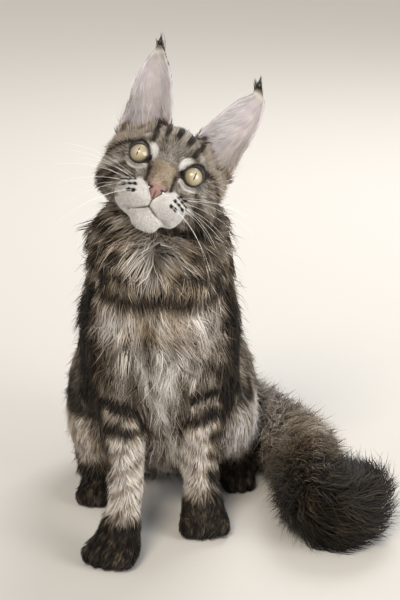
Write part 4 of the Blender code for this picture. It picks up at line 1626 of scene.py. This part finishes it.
on_crown = bell(HEAD[:, 2], 46, 12) * bell(HEAD[:, 0], 0, 22)
front_of_head = 1 - step(HEAD[:, 1] + 16 * on_crown, 24, 38)
clear = clear_of_openings(HEAD)
trunk_share, neck_share = share_of("trunk"), share_of("neck")
facing_front = step(-OUTWARD[:, 1], -0.25, 0.25) * (1 - step(BODY[:, 1], 0, 50))
ear_back = ear_share * (1 - FACING_IN)
near_face = head_share * front_of_head * clear * (1 + 0.8 * bell(HEAD[:, 1], -20, 22))
on_pads = bell(np.abs(HEAD[:, 0] - 2), 22, 6) * bell(HEAD[:, 2], -31, 9) * (1 - step(HEAD[:, 1], -4, 6))
near_face *= 1 - 0.8 * on_pads
ear_root = step(from_middle + height, 46, 53) * step(from_middle, 22, 28) * (1 - step(height, 42, 58))
ear_root *= (1 - step(HEAD[:, 1], 46, 56)) * step(HEAD[:, 1], 8, 16)
ear_back *= 1 - ear_root

grown("coat_face", 46000, near_face, 1, round_the_head, 101, stand=0.55, unruly=0.5, tick=0.3)
grown("coat_crown", 13500, head_share * (1 - front_of_head) * clear, 2, round_the_head, 111, lock=7, pull=0.35, stand=1.2)
grown("coat_neck", 12200, neck_share * (0.55 + 0.45 * facing_front), 3, round_the_body, 121, lock=16, pull=0.7, unruly=1.5, wild=0.02, thin=0.82)
grown("coat_chest", 12200, trunk_share * facing_front, 3, round_the_body, 131, lock=15, pull=0.68, thin=0.8)
grown("coat_back", 14500, trunk_share * (1 - facing_front), 2, round_the_body, 141, lock=12, pull=0.55)


def foreleg_unwrap(points):
    return on_both_sides(points, (41, -62), (-36, -95))


def hindleg_unwrap(points):
    return on_both_sides(points, (72, 50), (-72, 45))


def ear_unwrap(points):
    return on_both_sides(points, (35, 30), (-35, 30), head_axes=True)


grown("coat_forelegs", 18500, share_of("foreleg", "forepaw"), 2, foreleg_unwrap, 151, lock=7, pull=0.4)
grown("coat_hindlegs", 18500, share_of("hindleg", "hindpaw"), 2, hindleg_unwrap, 161, lock=9, pull=0.5)
tail_look = {"thin": 0.8, "stand": 1.25, "unruly": 1.3, "wild": 0.25}
grown("coat_tail", 12300, share_of("tail"), 3, round_the_tail, 171, lock=10, pull=0.5, **tail_look)
grown("coat_ears", 5500, ear_back * (1 - step(HEAD[:, 2], 101, 103)), 2, ear_unwrap, 181, lock=5, pull=0.2)
root_look = {"stretch": 1.5, "stand": 2.0, "thin": 0.85, "tick": 0.3, "finish": "fawn"}
on_ear_root = ear_root * (0.35 * head_share + ear_share) * clear
grown("coat_ear_roots", 5500, on_ear_root, 1, ear_unwrap, 186, **root_look)
print("coat triangles so far:", sum(len(piece.data.polygons) for piece in PIECES))

# %% [markdown]
# ## The long hairs of the head
# Three kinds of hair on the head don't lie in the coat. Pale hairs cross the inside of each ear from its inner
# edge, a dark brush stands on each ear's tip, and stiff white whiskers grow from the dark dots on the pads and from
# over the eyes. They follow paths of their own, so only the blades are shared with the coat.

# %% Pale hairs inside the ears
EAR_LINE_START, EAR_LINE_SLOPE = 36, 0.175
side_x, up_z = np.abs(HEAD[:, 0]), HEAD[:, 2]
across_ear = side_x - EAR_LINE_START - EAR_LINE_SLOPE * (up_z - 45)
inner_edge = 0.2 + 1.6 * step(-across_ear, 1, 8) + 1.8 * (1 - step(up_z, 52, 66)) + 0.8 * step(across_ear, 7, 11)
ear_cup = ear_share * FACING_IN * inner_edge * (1 - step(up_z, 84, 100)) * (1 - 0.85 * ear_root)
cup_look = {"stretch": 3.6, "stand": 5, "thin": 0.34, "unruly": 0.5, "bias": -0.3, "finish": "white", "wild": 0.15}
grown("coat_ear_cups", 900, ear_cup, 3, ear_unwrap, 191, lock=4, pull=0.3, tick=0.05, **cup_look)

# %% Paths between two places, and the brushes on the tips of the ears


def bowed(starts, ends, bow, joints):
    """Paths from starts to ends that bow out by a vector in their middle."""
    share = np.linspace(0, 1, joints + 1)[None, :, None]
    bend = (4 * share * (1 - share)) * bow[:, None, :]
    return starts[:, None, :] * (1 - share) + ends[:, None, :] * share + bend


def ear_brush(side, count, dice):
    """Starts and ends, in head millimetres, of the hairs on one ear's tip."""
    mine = (ear_share > 0.5) & (HEAD[:, 0] * side > 0)
    top = HEAD[mine][:, 2].max()
    rim = HEAD[mine & (HEAD[:, 2] > top - 6) & (FACING_IN < 0.6)]
    solid = to_head(positions(nodes["ear_left" if side == LEFT else "ear_right"].data))
    peak = solid[np.argmax(solid[:, 2])]
    starts = rim[dice.integers(0, len(rim), count)]
    spikes = peak + np.array([(0, 0, 0), (-4.2 * side, 0, -4), (2.6 * side, 1, -6)])
    chosen = spikes[dice.choice(3, count, p=(0.5, 0.3, 0.2))]
    goal = chosen + dice.normal(0, 0.5, (count, 3))
    reach = dice.uniform(0.35, 1.18, count)[:, None]
    return starts, starts + (goal - starts) * reach


dice = np.random.default_rng(201)
BRUSH = 150
starts, ends = (np.concatenate(pair) for pair in zip(ear_brush(LEFT, BRUSH, dice), ear_brush(RIGHT, BRUSH, dice)))
path = bowed(starts, ends, dice.normal(0, 0.5, starts.shape), 6)
path = from_head(path.reshape(-1, 3)).reshape(path.shape)
outward = np.tile(-HEAD_AXES[:, 1], (len(path), 1))
marks, strand = toned(np.repeat(coat_of("black", len(path))[:, None], 7, axis=1), np.arange(len(path)), 0, dice)
brush = blades("ear_brushes", path, outward, dice.uniform(0.17, 0.3, len(path)), ear_unwrap(path[:, 0]), marks, strand,
               COAT_MATERIAL)
print("ear brushes:", len(brush.data.polygons), "triangles")

# %% Whiskers
skin_surface = BVHTree.FromPolygons([Vector(point) for point in SKIN], [tuple(triangle) for triangle in TRIANGLES])


def on_face(across, up):
    """The place on the skin that is straight in front of a point of the face, in head millimetres."""
    start = from_head(np.array((across, -70.0, up)))
    place_found, _, _, _ = skin_surface.ray_cast(Vector(start), Vector(HEAD_AXES[:, 1]), 0.2)
    return to_head(np.array(place_found)[None])[0]


def whisker_paths(side, dice):
    """Whiskers from the dots of the pads, which fan out and droop, and a few from over the eye."""
    starts, ends, bows, widths = [], [], [], []
    for row, (start, height, count) in enumerate(WHISKER_ROWS):
        for number in range(count):
            root = on_face(side * (start + number * DOT_STEP) + lean_of(-20), height + number * DOT_RISE)
            length = dice.uniform(52, 80) - 6 * number
            fan = math.radians(16 - 17 * row + dice.normal(0, 7))
            ahead = -0.12 + 0.16 * number
            heading = unit(np.array((side * math.cos(fan), ahead, math.sin(fan))))
            starts.append(root)
            ends.append(root + heading * length + np.array((0, 6, -0.16 * length)))
            bows.append(np.array((side * 2, -3, 0.075 * length)))
            widths.append(dice.uniform(0.26, 0.38))
    for number in range(4):
        root = on_face(side * (27 + 2.2 * number), 15.5 + 1.2 * number)
        heading = unit(np.array((side * (0.25 + 0.16 * number), -0.45, 1.0 - 0.12 * number)))
        starts.append(root)
        ends.append(root + heading * dice.uniform(26, 40))
        bows.append(np.array((side * 2.0, -2.5, 1)))
        widths.append(0.24)
    return [np.array(values) for values in (starts, ends, bows, widths)]


def whisker_material():
    material, _, shader = new_material("whisker")
    shader.inputs["Base Color"].default_value = linear("f4f2ee")
    shader.inputs["Roughness"].default_value = 0.35
    return material


dice = np.random.default_rng(211)
both = [whisker_paths(side, dice) for side in (LEFT, RIGHT)]
starts, ends, bows, widths = (np.concatenate(pair) for pair in zip(*both))
path = bowed(starts, ends, bows, 12)
path = from_head(path.reshape(-1, 3)).reshape(path.shape)
low_x = cad_box[0][0] - 0.012
path[:, :, 0] = np.maximum(path[:, :, 0], low_x)
count = len(path)
outward = np.tile(unit(HEAD_AXES @ np.array((0, -0.5, 1))), (count, 1))
whiskers = blades("whiskers", path, outward, widths, round_the_head(path[:, 0]), coat_of("white", count),
                  np.full((count, 3), 0.5), whisker_material(), softness=0.4)
print(count, "whiskers with", len(whiskers.data.polygons), "triangles")

# %% Dark dots of hair where the whiskers grow
HAIRS_PER_DOT = 26


def dot_places(side):
    """The places of one pad's dots, on the skin, in the frame."""
    places = []
    for start, height, count in WHISKER_ROWS:
        for number in range(count):
            across = side * (start + number * DOT_STEP) + lean_of(-20)
            places.append(on_face(across, height + number * DOT_RISE))
    return from_head(np.array(places))


dice = np.random.default_rng(221)
places = np.repeat(np.concatenate([dot_places(LEFT), dot_places(RIGHT)]), HAIRS_PER_DOT, axis=0)
spread = dice.normal(0, 0.5 * MM, places.shape)
nearest = nearest_skin(places + spread)
starts, outward = places + spread, OUTWARD[nearest]
ends = starts + (1.7 * LIE[nearest] + 1.7 * outward) * MM
count = len(starts)
dots = blades("whisker_dots", np.stack((starts, ends), axis=1), outward, dice.uniform(0.5, 0.8, count),
              round_the_head(starts), coat_of("black", count), np.full((count, 3), 0.1), COAT_MATERIAL)
print("dots of dark hair on the pads:", count // HAIRS_PER_DOT)

# %% [markdown]
# ## The eyes
# A cat's eye is a ball with a clear, bulging window over a flat ring of iris. A ball with a slight bulge, a painted
# iris and a glossy coat gives the same look from outside. Each point keeps its place on the eye as an attribute, so
# the iris stays with the eye however it is turned: fibres that run outwards, a dark ring at the edge, and a pupil
# that is a narrow upright slit in bright light.

# %% The iris as a node group
IRIS_RADIUS = 8.9
IRIS_TONES = [(0.0, "c3b79c"), (0.42, "afa285"), (0.8, "928669"), (0.92, "564a37"), (1.0, "14100c")]
PUPIL_HALF_WIDTH, PUPIL_HALF_HEIGHT = 0.62, 3.9


def iris_group():
    tree = bpy.data.node_groups.new("iris colour", "ShaderNodeTree")
    tree.interface.new_socket("Pupil", in_out="INPUT", socket_type="NodeSocketColor").default_value = linear("060505")
    tree.interface.new_socket("Colour", in_out="OUTPUT", socket_type="NodeSocketColor")
    start, end = tree.nodes.new("NodeGroupInput"), tree.nodes.new("NodeGroupOutput")
    spot, parts, flat = (tree.nodes.new(kind) for kind in (
        "ShaderNodeAttribute", "ShaderNodeSeparateXYZ", "ShaderNodeCombineXYZ"))
    spot.attribute_name = "eye_place"
    link_nodes(tree, (spot.outputs["Vector"], parts.inputs[0]), (parts.outputs[0], flat.inputs[0]))
    link_nodes(tree, (parts.outputs[2], flat.inputs[2]))
    length, heading, spread = (tree.nodes.new("ShaderNodeVectorMath") for _ in range(3))
    length.operation, heading.operation, spread.operation = "LENGTH", "NORMALIZE", "MULTIPLY_ADD"
    link_nodes(tree, (flat.outputs[0], length.inputs[0]), (flat.outputs[0], heading.inputs[0]))
    radius = math_node(tree, "DIVIDE", length.outputs["Value"], IRIS_RADIUS)
    outwards = tree.nodes.new("ShaderNodeCombineXYZ")
    link_nodes(tree, (radius, outwards.inputs[1]), (heading.outputs[0], spread.inputs[0]))
    spread.inputs[1].default_value = (5.5, 5.5, 5.5)
    link_nodes(tree, (outwards.outputs[0], spread.inputs[2]))
    fibres, tones, lit = tree.nodes.new("ShaderNodeTexNoise"), tree.nodes.new("ShaderNodeValToRGB"), mixer(tree)
    fibres.inputs["Scale"].default_value = 2.6
    fibres.inputs["Detail"].default_value = 6
    fibres.inputs["Roughness"].default_value = 0.7
    ramp = tones.color_ramp
    while len(ramp.elements) < len(IRIS_TONES):
        ramp.elements.new(0.5)
    for element, (position, code) in zip(ramp.elements, IRIS_TONES):
        element.position, element.color = position, linear(code)
    lit.blend_type = "OVERLAY"
    lit.inputs["Factor"].default_value = 0.55
    link_nodes(
        tree, (spread.outputs[0], fibres.inputs["Vector"]), (radius, tones.inputs["Fac"]),
        (tones.outputs["Color"], lit.inputs[6]), (fibres.outputs["Fac"], lit.inputs[7]),
    )
    wide = math_node(tree, "POWER", math_node(tree, "DIVIDE", parts.outputs[0], PUPIL_HALF_WIDTH), 2.0)
    tall = math_node(tree, "POWER", math_node(tree, "DIVIDE", parts.outputs[2], PUPIL_HALF_HEIGHT), 2.0)
    slit = tree.nodes.new("ShaderNodeMapRange")
    slit.interpolation_type = "SMOOTHSTEP"
    slit.inputs["From Min"].default_value, slit.inputs["From Max"].default_value = 1.35, 0.75
    pupil = mixer(tree)
    link_nodes(
        tree, (math_node(tree, "ADD", wide, tall), slit.inputs["Value"]), (slit.outputs["Result"], pupil.inputs["Factor"]),
        (lit.outputs[2], pupil.inputs[6]), (start.outputs["Pupil"], pupil.inputs[7]),
        (pupil.outputs[2], end.inputs["Colour"]),
    )
    return tree


def eye_material():
    material, tree, shader = new_material("eye")
    group = tree.nodes.new("ShaderNodeGroup")
    group.node_tree = iris_group()
    shader.inputs["Roughness"].default_value = 0.35
    shader.inputs["Coat Weight"].default_value = 1.0
    shader.inputs["Coat Roughness"].default_value = 0.03
    link_nodes(tree, (group.outputs["Colour"], shader.inputs["Base Color"]))
    return material


EYE_MATERIAL = eye_material()
print("iris tones:", len(IRIS_TONES))

# %% The eyeballs
BULGE, BULGE_ANGLE = 1.2, math.radians(50)


def eyeball(side, name, node):
    bm = bmesh.new()
    bmesh.ops.create_uvsphere(bm, u_segments=56, v_segments=40, radius=EYE_RADIUS)
    bmesh.ops.rotate(bm, verts=bm.verts, cent=(0, 0, 0), matrix=Matrix.Rotation(math.radians(90), 3, "X"))
    local = np.array([vert.co for vert in bm.verts])
    off_axis = np.arctan2(np.hypot(local[:, 0], local[:, 2]), -local[:, 1])
    swell = BULGE * (1 - np.clip(off_axis / BULGE_ANGLE, 0, 1) ** 2) ** 2
    local *= (1 + swell / EYE_RADIUS)[:, None]
    for vert, point in zip(bm.verts, from_head(from_eye(local, side))):
        vert.co = point
    bmesh.ops.recalc_face_normals(bm, faces=bm.faces)
    ball = object_of(name, bm)
    ball.data.shade_smooth()
    store(ball.data, "eye_place", local)
    ball.data.materials.append(EYE_MATERIAL)
    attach(ball, "root")
    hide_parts(node)
    return ball


eyeballs = [eyeball(LEFT, "eyeball_left", "eye_left"), eyeball(RIGHT, "eyeball_right", "eye_right")]
print("eyeballs:", [len(ball.data.polygons) for ball in eyeballs])

# %% The dark wet rims of the lids, thickened above into painted shade


def leather_material(name, roughness):
    material, tree, shader = new_material(name)
    tint, tone = tree.nodes.new("ShaderNodeAttribute"), mixer(tree)
    tint.attribute_name = "dark"
    tone.inputs[6].default_value, tone.inputs[7].default_value = linear("8e6e66"), linear("1b1210")
    cells, bump, spot = (tree.nodes.new(kind) for kind in ("ShaderNodeTexVoronoi", "ShaderNodeBump", "ShaderNodeTexCoord"))
    cells.inputs["Scale"].default_value = 1100
    bump.inputs["Strength"].default_value, bump.inputs["Distance"].default_value = 0.35, 0.0003
    shader.inputs["Roughness"].default_value = roughness
    link_nodes(
        tree, (tint.outputs["Fac"], tone.inputs["Factor"]), (tone.outputs[2], shader.inputs["Base Color"]),
        (spot.outputs["Object"], cells.inputs["Vector"]), (cells.outputs["Distance"], bump.inputs["Height"]),
        (bump.outputs["Normal"], shader.inputs["Normal"]),
    )
    return material


def lid_rim_and_shade(side, name):
    """A thin dark tube along the opening: the lids' black margin, made thicker above so that it also stands for the
    shade under the upper lid.
    """
    angles = np.linspace(0, math.tau, 96, endpoint=False)
    half = opening(angles) + 0.12 * bell(angles, math.radians(62), 0.8)
    reach = EYE_RADIUS + 0.2
    local = np.stack((np.cos(angles) * np.sin(half), -np.cos(half), np.sin(angles) * np.sin(half)), axis=1) * reach
    curve = bpy.data.curves.new(name, "CURVE")
    curve.dimensions = "3D"
    curve.bevel_depth, curve.bevel_resolution = 0.5 * MM, 2
    line = curve.splines.new("POLY")
    line.points.add(len(angles) - 1)
    for point, spot, angle in zip(line.points, from_head(from_eye(local, side)), angles):
        point.co = (*spot, 1)
        # The thicker part above is a dark shape put where the upper lid throws shade.
        point.radius = 1 + 2.9 * bell(angle, math.radians(62), 0.8)
    line.use_cyclic_u = True
    tube = settled_curve(name, curve)
    store(tube.data, "dark", np.ones(len(tube.data.vertices)))
    tube.data.materials.append(LID_MATERIAL)
    tube.data.shade_smooth()
    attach(tube, "root")
    return tube


def settled_curve(name, curve):
    """A curve with thickness as a mesh of its own."""
    helper = bpy.data.objects.new("helper", curve)
    bpy.context.scene.collection.objects.link(helper)
    bpy.context.view_layer.update()
    mesh = bpy.data.meshes.new_from_object(helper.evaluated_get(bpy.context.evaluated_depsgraph_get()))
    bpy.data.objects.remove(helper)
    mesh.name = name
    tube = bpy.data.objects.new(name, mesh)
    bpy.context.scene.collection.objects.link(tube)
    return tube


LID_MATERIAL = leather_material("lid rim and painted shade", 0.3)
rims = [lid_rim_and_shade(LEFT, "lid_rim_left"), lid_rim_and_shade(RIGHT, "lid_rim_right")]
print("lid rims:", [len(rim.data.polygons) for rim in rims])

# %% [markdown]
# ## The nose
# Between the pads and the bridge is a small shield of bare, pebbled leather with two comma-shaped nostrils. It is a
# grid that takes its depth from the skin below it, rises to a soft cushion, and is pressed in at the nostrils and
# along the groove that runs down to the lips. Being a piece of its own, it stays crisp between the tufts.

# %% The nose leather
NOSE_ROWS = [(-24.2, 8.2), (-25.6, 9.7), (-28.5, 9.4), (-31.5, 7.5), (-34.5, 4.8), (-37.5, 2.5), (-40, 1.3)]
NOSTRIL = [(4.9, -30.0), (6.3, -30.4), (8.2, -31.6)]
row_heights, row_widths = zip(*reversed(NOSE_ROWS))
bm = bmesh.new()
bmesh.ops.create_grid(bm, x_segments=34, y_segments=30, size=1)
bm.verts.ensure_lookup_table()
sheet = np.array([vert.co for vert in bm.verts])
up = -32.1 + 7.9 * sheet[:, 1] - 0.9 * (1 - np.abs(sheet[:, 0])) * step(sheet[:, 1], 0.6, 1)
across = sheet[:, 0] * np.interp(up, row_heights, row_widths)
lean = lean_of(-26.0)
depth = np.array([on_face(a * 0.93 + lean, u)[1] for a, u in zip(across, up)])
edge = np.maximum(np.abs(sheet[:, 0]), np.abs(sheet[:, 1]))
cushion = 2.3 * (1 - edge ** 3.2) ** 0.6 - 0.4
nostril = bell(line_distance(np.abs(across), up, NOSTRIL), 0, 1.1)
groove = bell(across, 0, 0.8) * (1 - step(up, -33, -30))
depth = depth - cushion + 1.7 * nostril + 0.8 * groove
for vert, point in zip(bm.verts, from_head(np.stack((across + lean, depth, up), axis=1))):
    vert.co = point
for _ in range(2):
    bmesh.ops.smooth_vert(bm, verts=bm.verts, factor=0.4, use_axis_x=True, use_axis_y=True, use_axis_z=True)
bmesh.ops.recalc_face_normals(bm, faces=bm.faces)
shield_front = len(bm.verts)
bmesh.ops.solidify(bm, geom=bm.faces[:], thickness=1.6 * MM)
bmesh.ops.recalc_face_normals(bm, faces=bm.faces)
nose = object_of("nose_leather", bm)
flat_points = to_head(positions(nose.data))
side_x, up_z = np.abs(flat_points[:, 0] - lean), flat_points[:, 2]
rim_dark = step(side_x / np.maximum(np.interp(up_z, row_heights, row_widths), 1), 0.6, 0.95)
# The nostrils are painted dark as the shade inside their openings.
nostril_shade = bell(line_distance(side_x, up_z, NOSTRIL), 0, 1.5)
line_dark = bell(side_x, 0, 0.7) * (1 - step(up_z, -34, -31))
store(nose.data, "dark", np.clip(0.85 * rim_dark + 1.2 * nostril_shade + 0.7 * line_dark, 0, 1))
nose.data.materials.append(leather_material("nose leather", 0.42))
nose.data.shade_smooth()
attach(nose, "root")
print("nose leather:", len(nose.data.polygons), "faces")

# %% [markdown]
# ## The stage
# The model stands alone on a plain pale floor that is wide enough to fill the picture, in soft studio light: a large
# warm light from above on the left, a weaker one from the right and one from behind, which shows the edge of the
# coat. The camera looks down at the cat from about two metres, as a person's would who sits on the floor.

# %% Floor, light and camera
bm = bmesh.new()
bmesh.ops.create_grid(bm, x_segments=1, y_segments=1, size=6)
floor = object_of("floor", bm)
floor_material, _, floor_shader = new_material("floor")
floor_shader.inputs["Base Color"].default_value = linear("c9c6c1")
floor_shader.inputs["Roughness"].default_value = 0.9
floor.data.materials.append(floor_material)

scene = bpy.context.scene
scene.view_settings.view_transform = "Standard"
world = bpy.data.worlds.new("room")
scene.world = world
world.use_nodes = True
world.node_tree.nodes["Background"].inputs["Color"].default_value = linear("dfe3e8")
world.node_tree.nodes["Background"].inputs["Strength"].default_value = 0.55
CHEST_HEIGHT = Vector((0, 0, 0.24))


def soft_light(name, spot, size, power, colour):
    light = bpy.data.lights.new(name, "AREA")
    light.size = size
    light.energy = power
    light.color = linear(colour)[:3]
    lamp = bpy.data.objects.new(name, light)
    scene.collection.objects.link(lamp)
    lamp.location = body_origin + Vector(spot)
    lamp.rotation_euler = (Vector(spot) - CHEST_HEIGHT).to_track_quat("Z", "Y").to_euler()


def soft_sun(name, direction, angle, power, colour):
    sun = bpy.data.lights.new(name, "SUN")
    sun.angle = math.radians(angle)
    sun.energy = power
    sun.color = linear(colour)[:3]
    lamp = bpy.data.objects.new(name, sun)
    scene.collection.objects.link(lamp)
    lamp.rotation_euler = Vector(direction).to_track_quat("Z", "Y").to_euler()


soft_sun("key", (-0.3, -0.95, 1.0), 22, 2.3, "fff3e2")
soft_light("fill", (1.6, -1.15, 0.72), 1.2, 33, "f4f2ee")
soft_light("rim", (0.6, 1.5, 1.6), 0.9, 26, "ffffff")

camera_data = bpy.data.cameras.new("camera")
camera_data.lens = 116.64
camera = bpy.data.objects.new("camera", camera_data)
scene.collection.objects.link(camera)
camera.location = body_origin + Vector((0.039, -1.807, 0.800))
camera.rotation_euler = (math.radians(72), 0, 0)
scene.camera = camera
print("camera at", [round(value, 3) for value in camera.location])
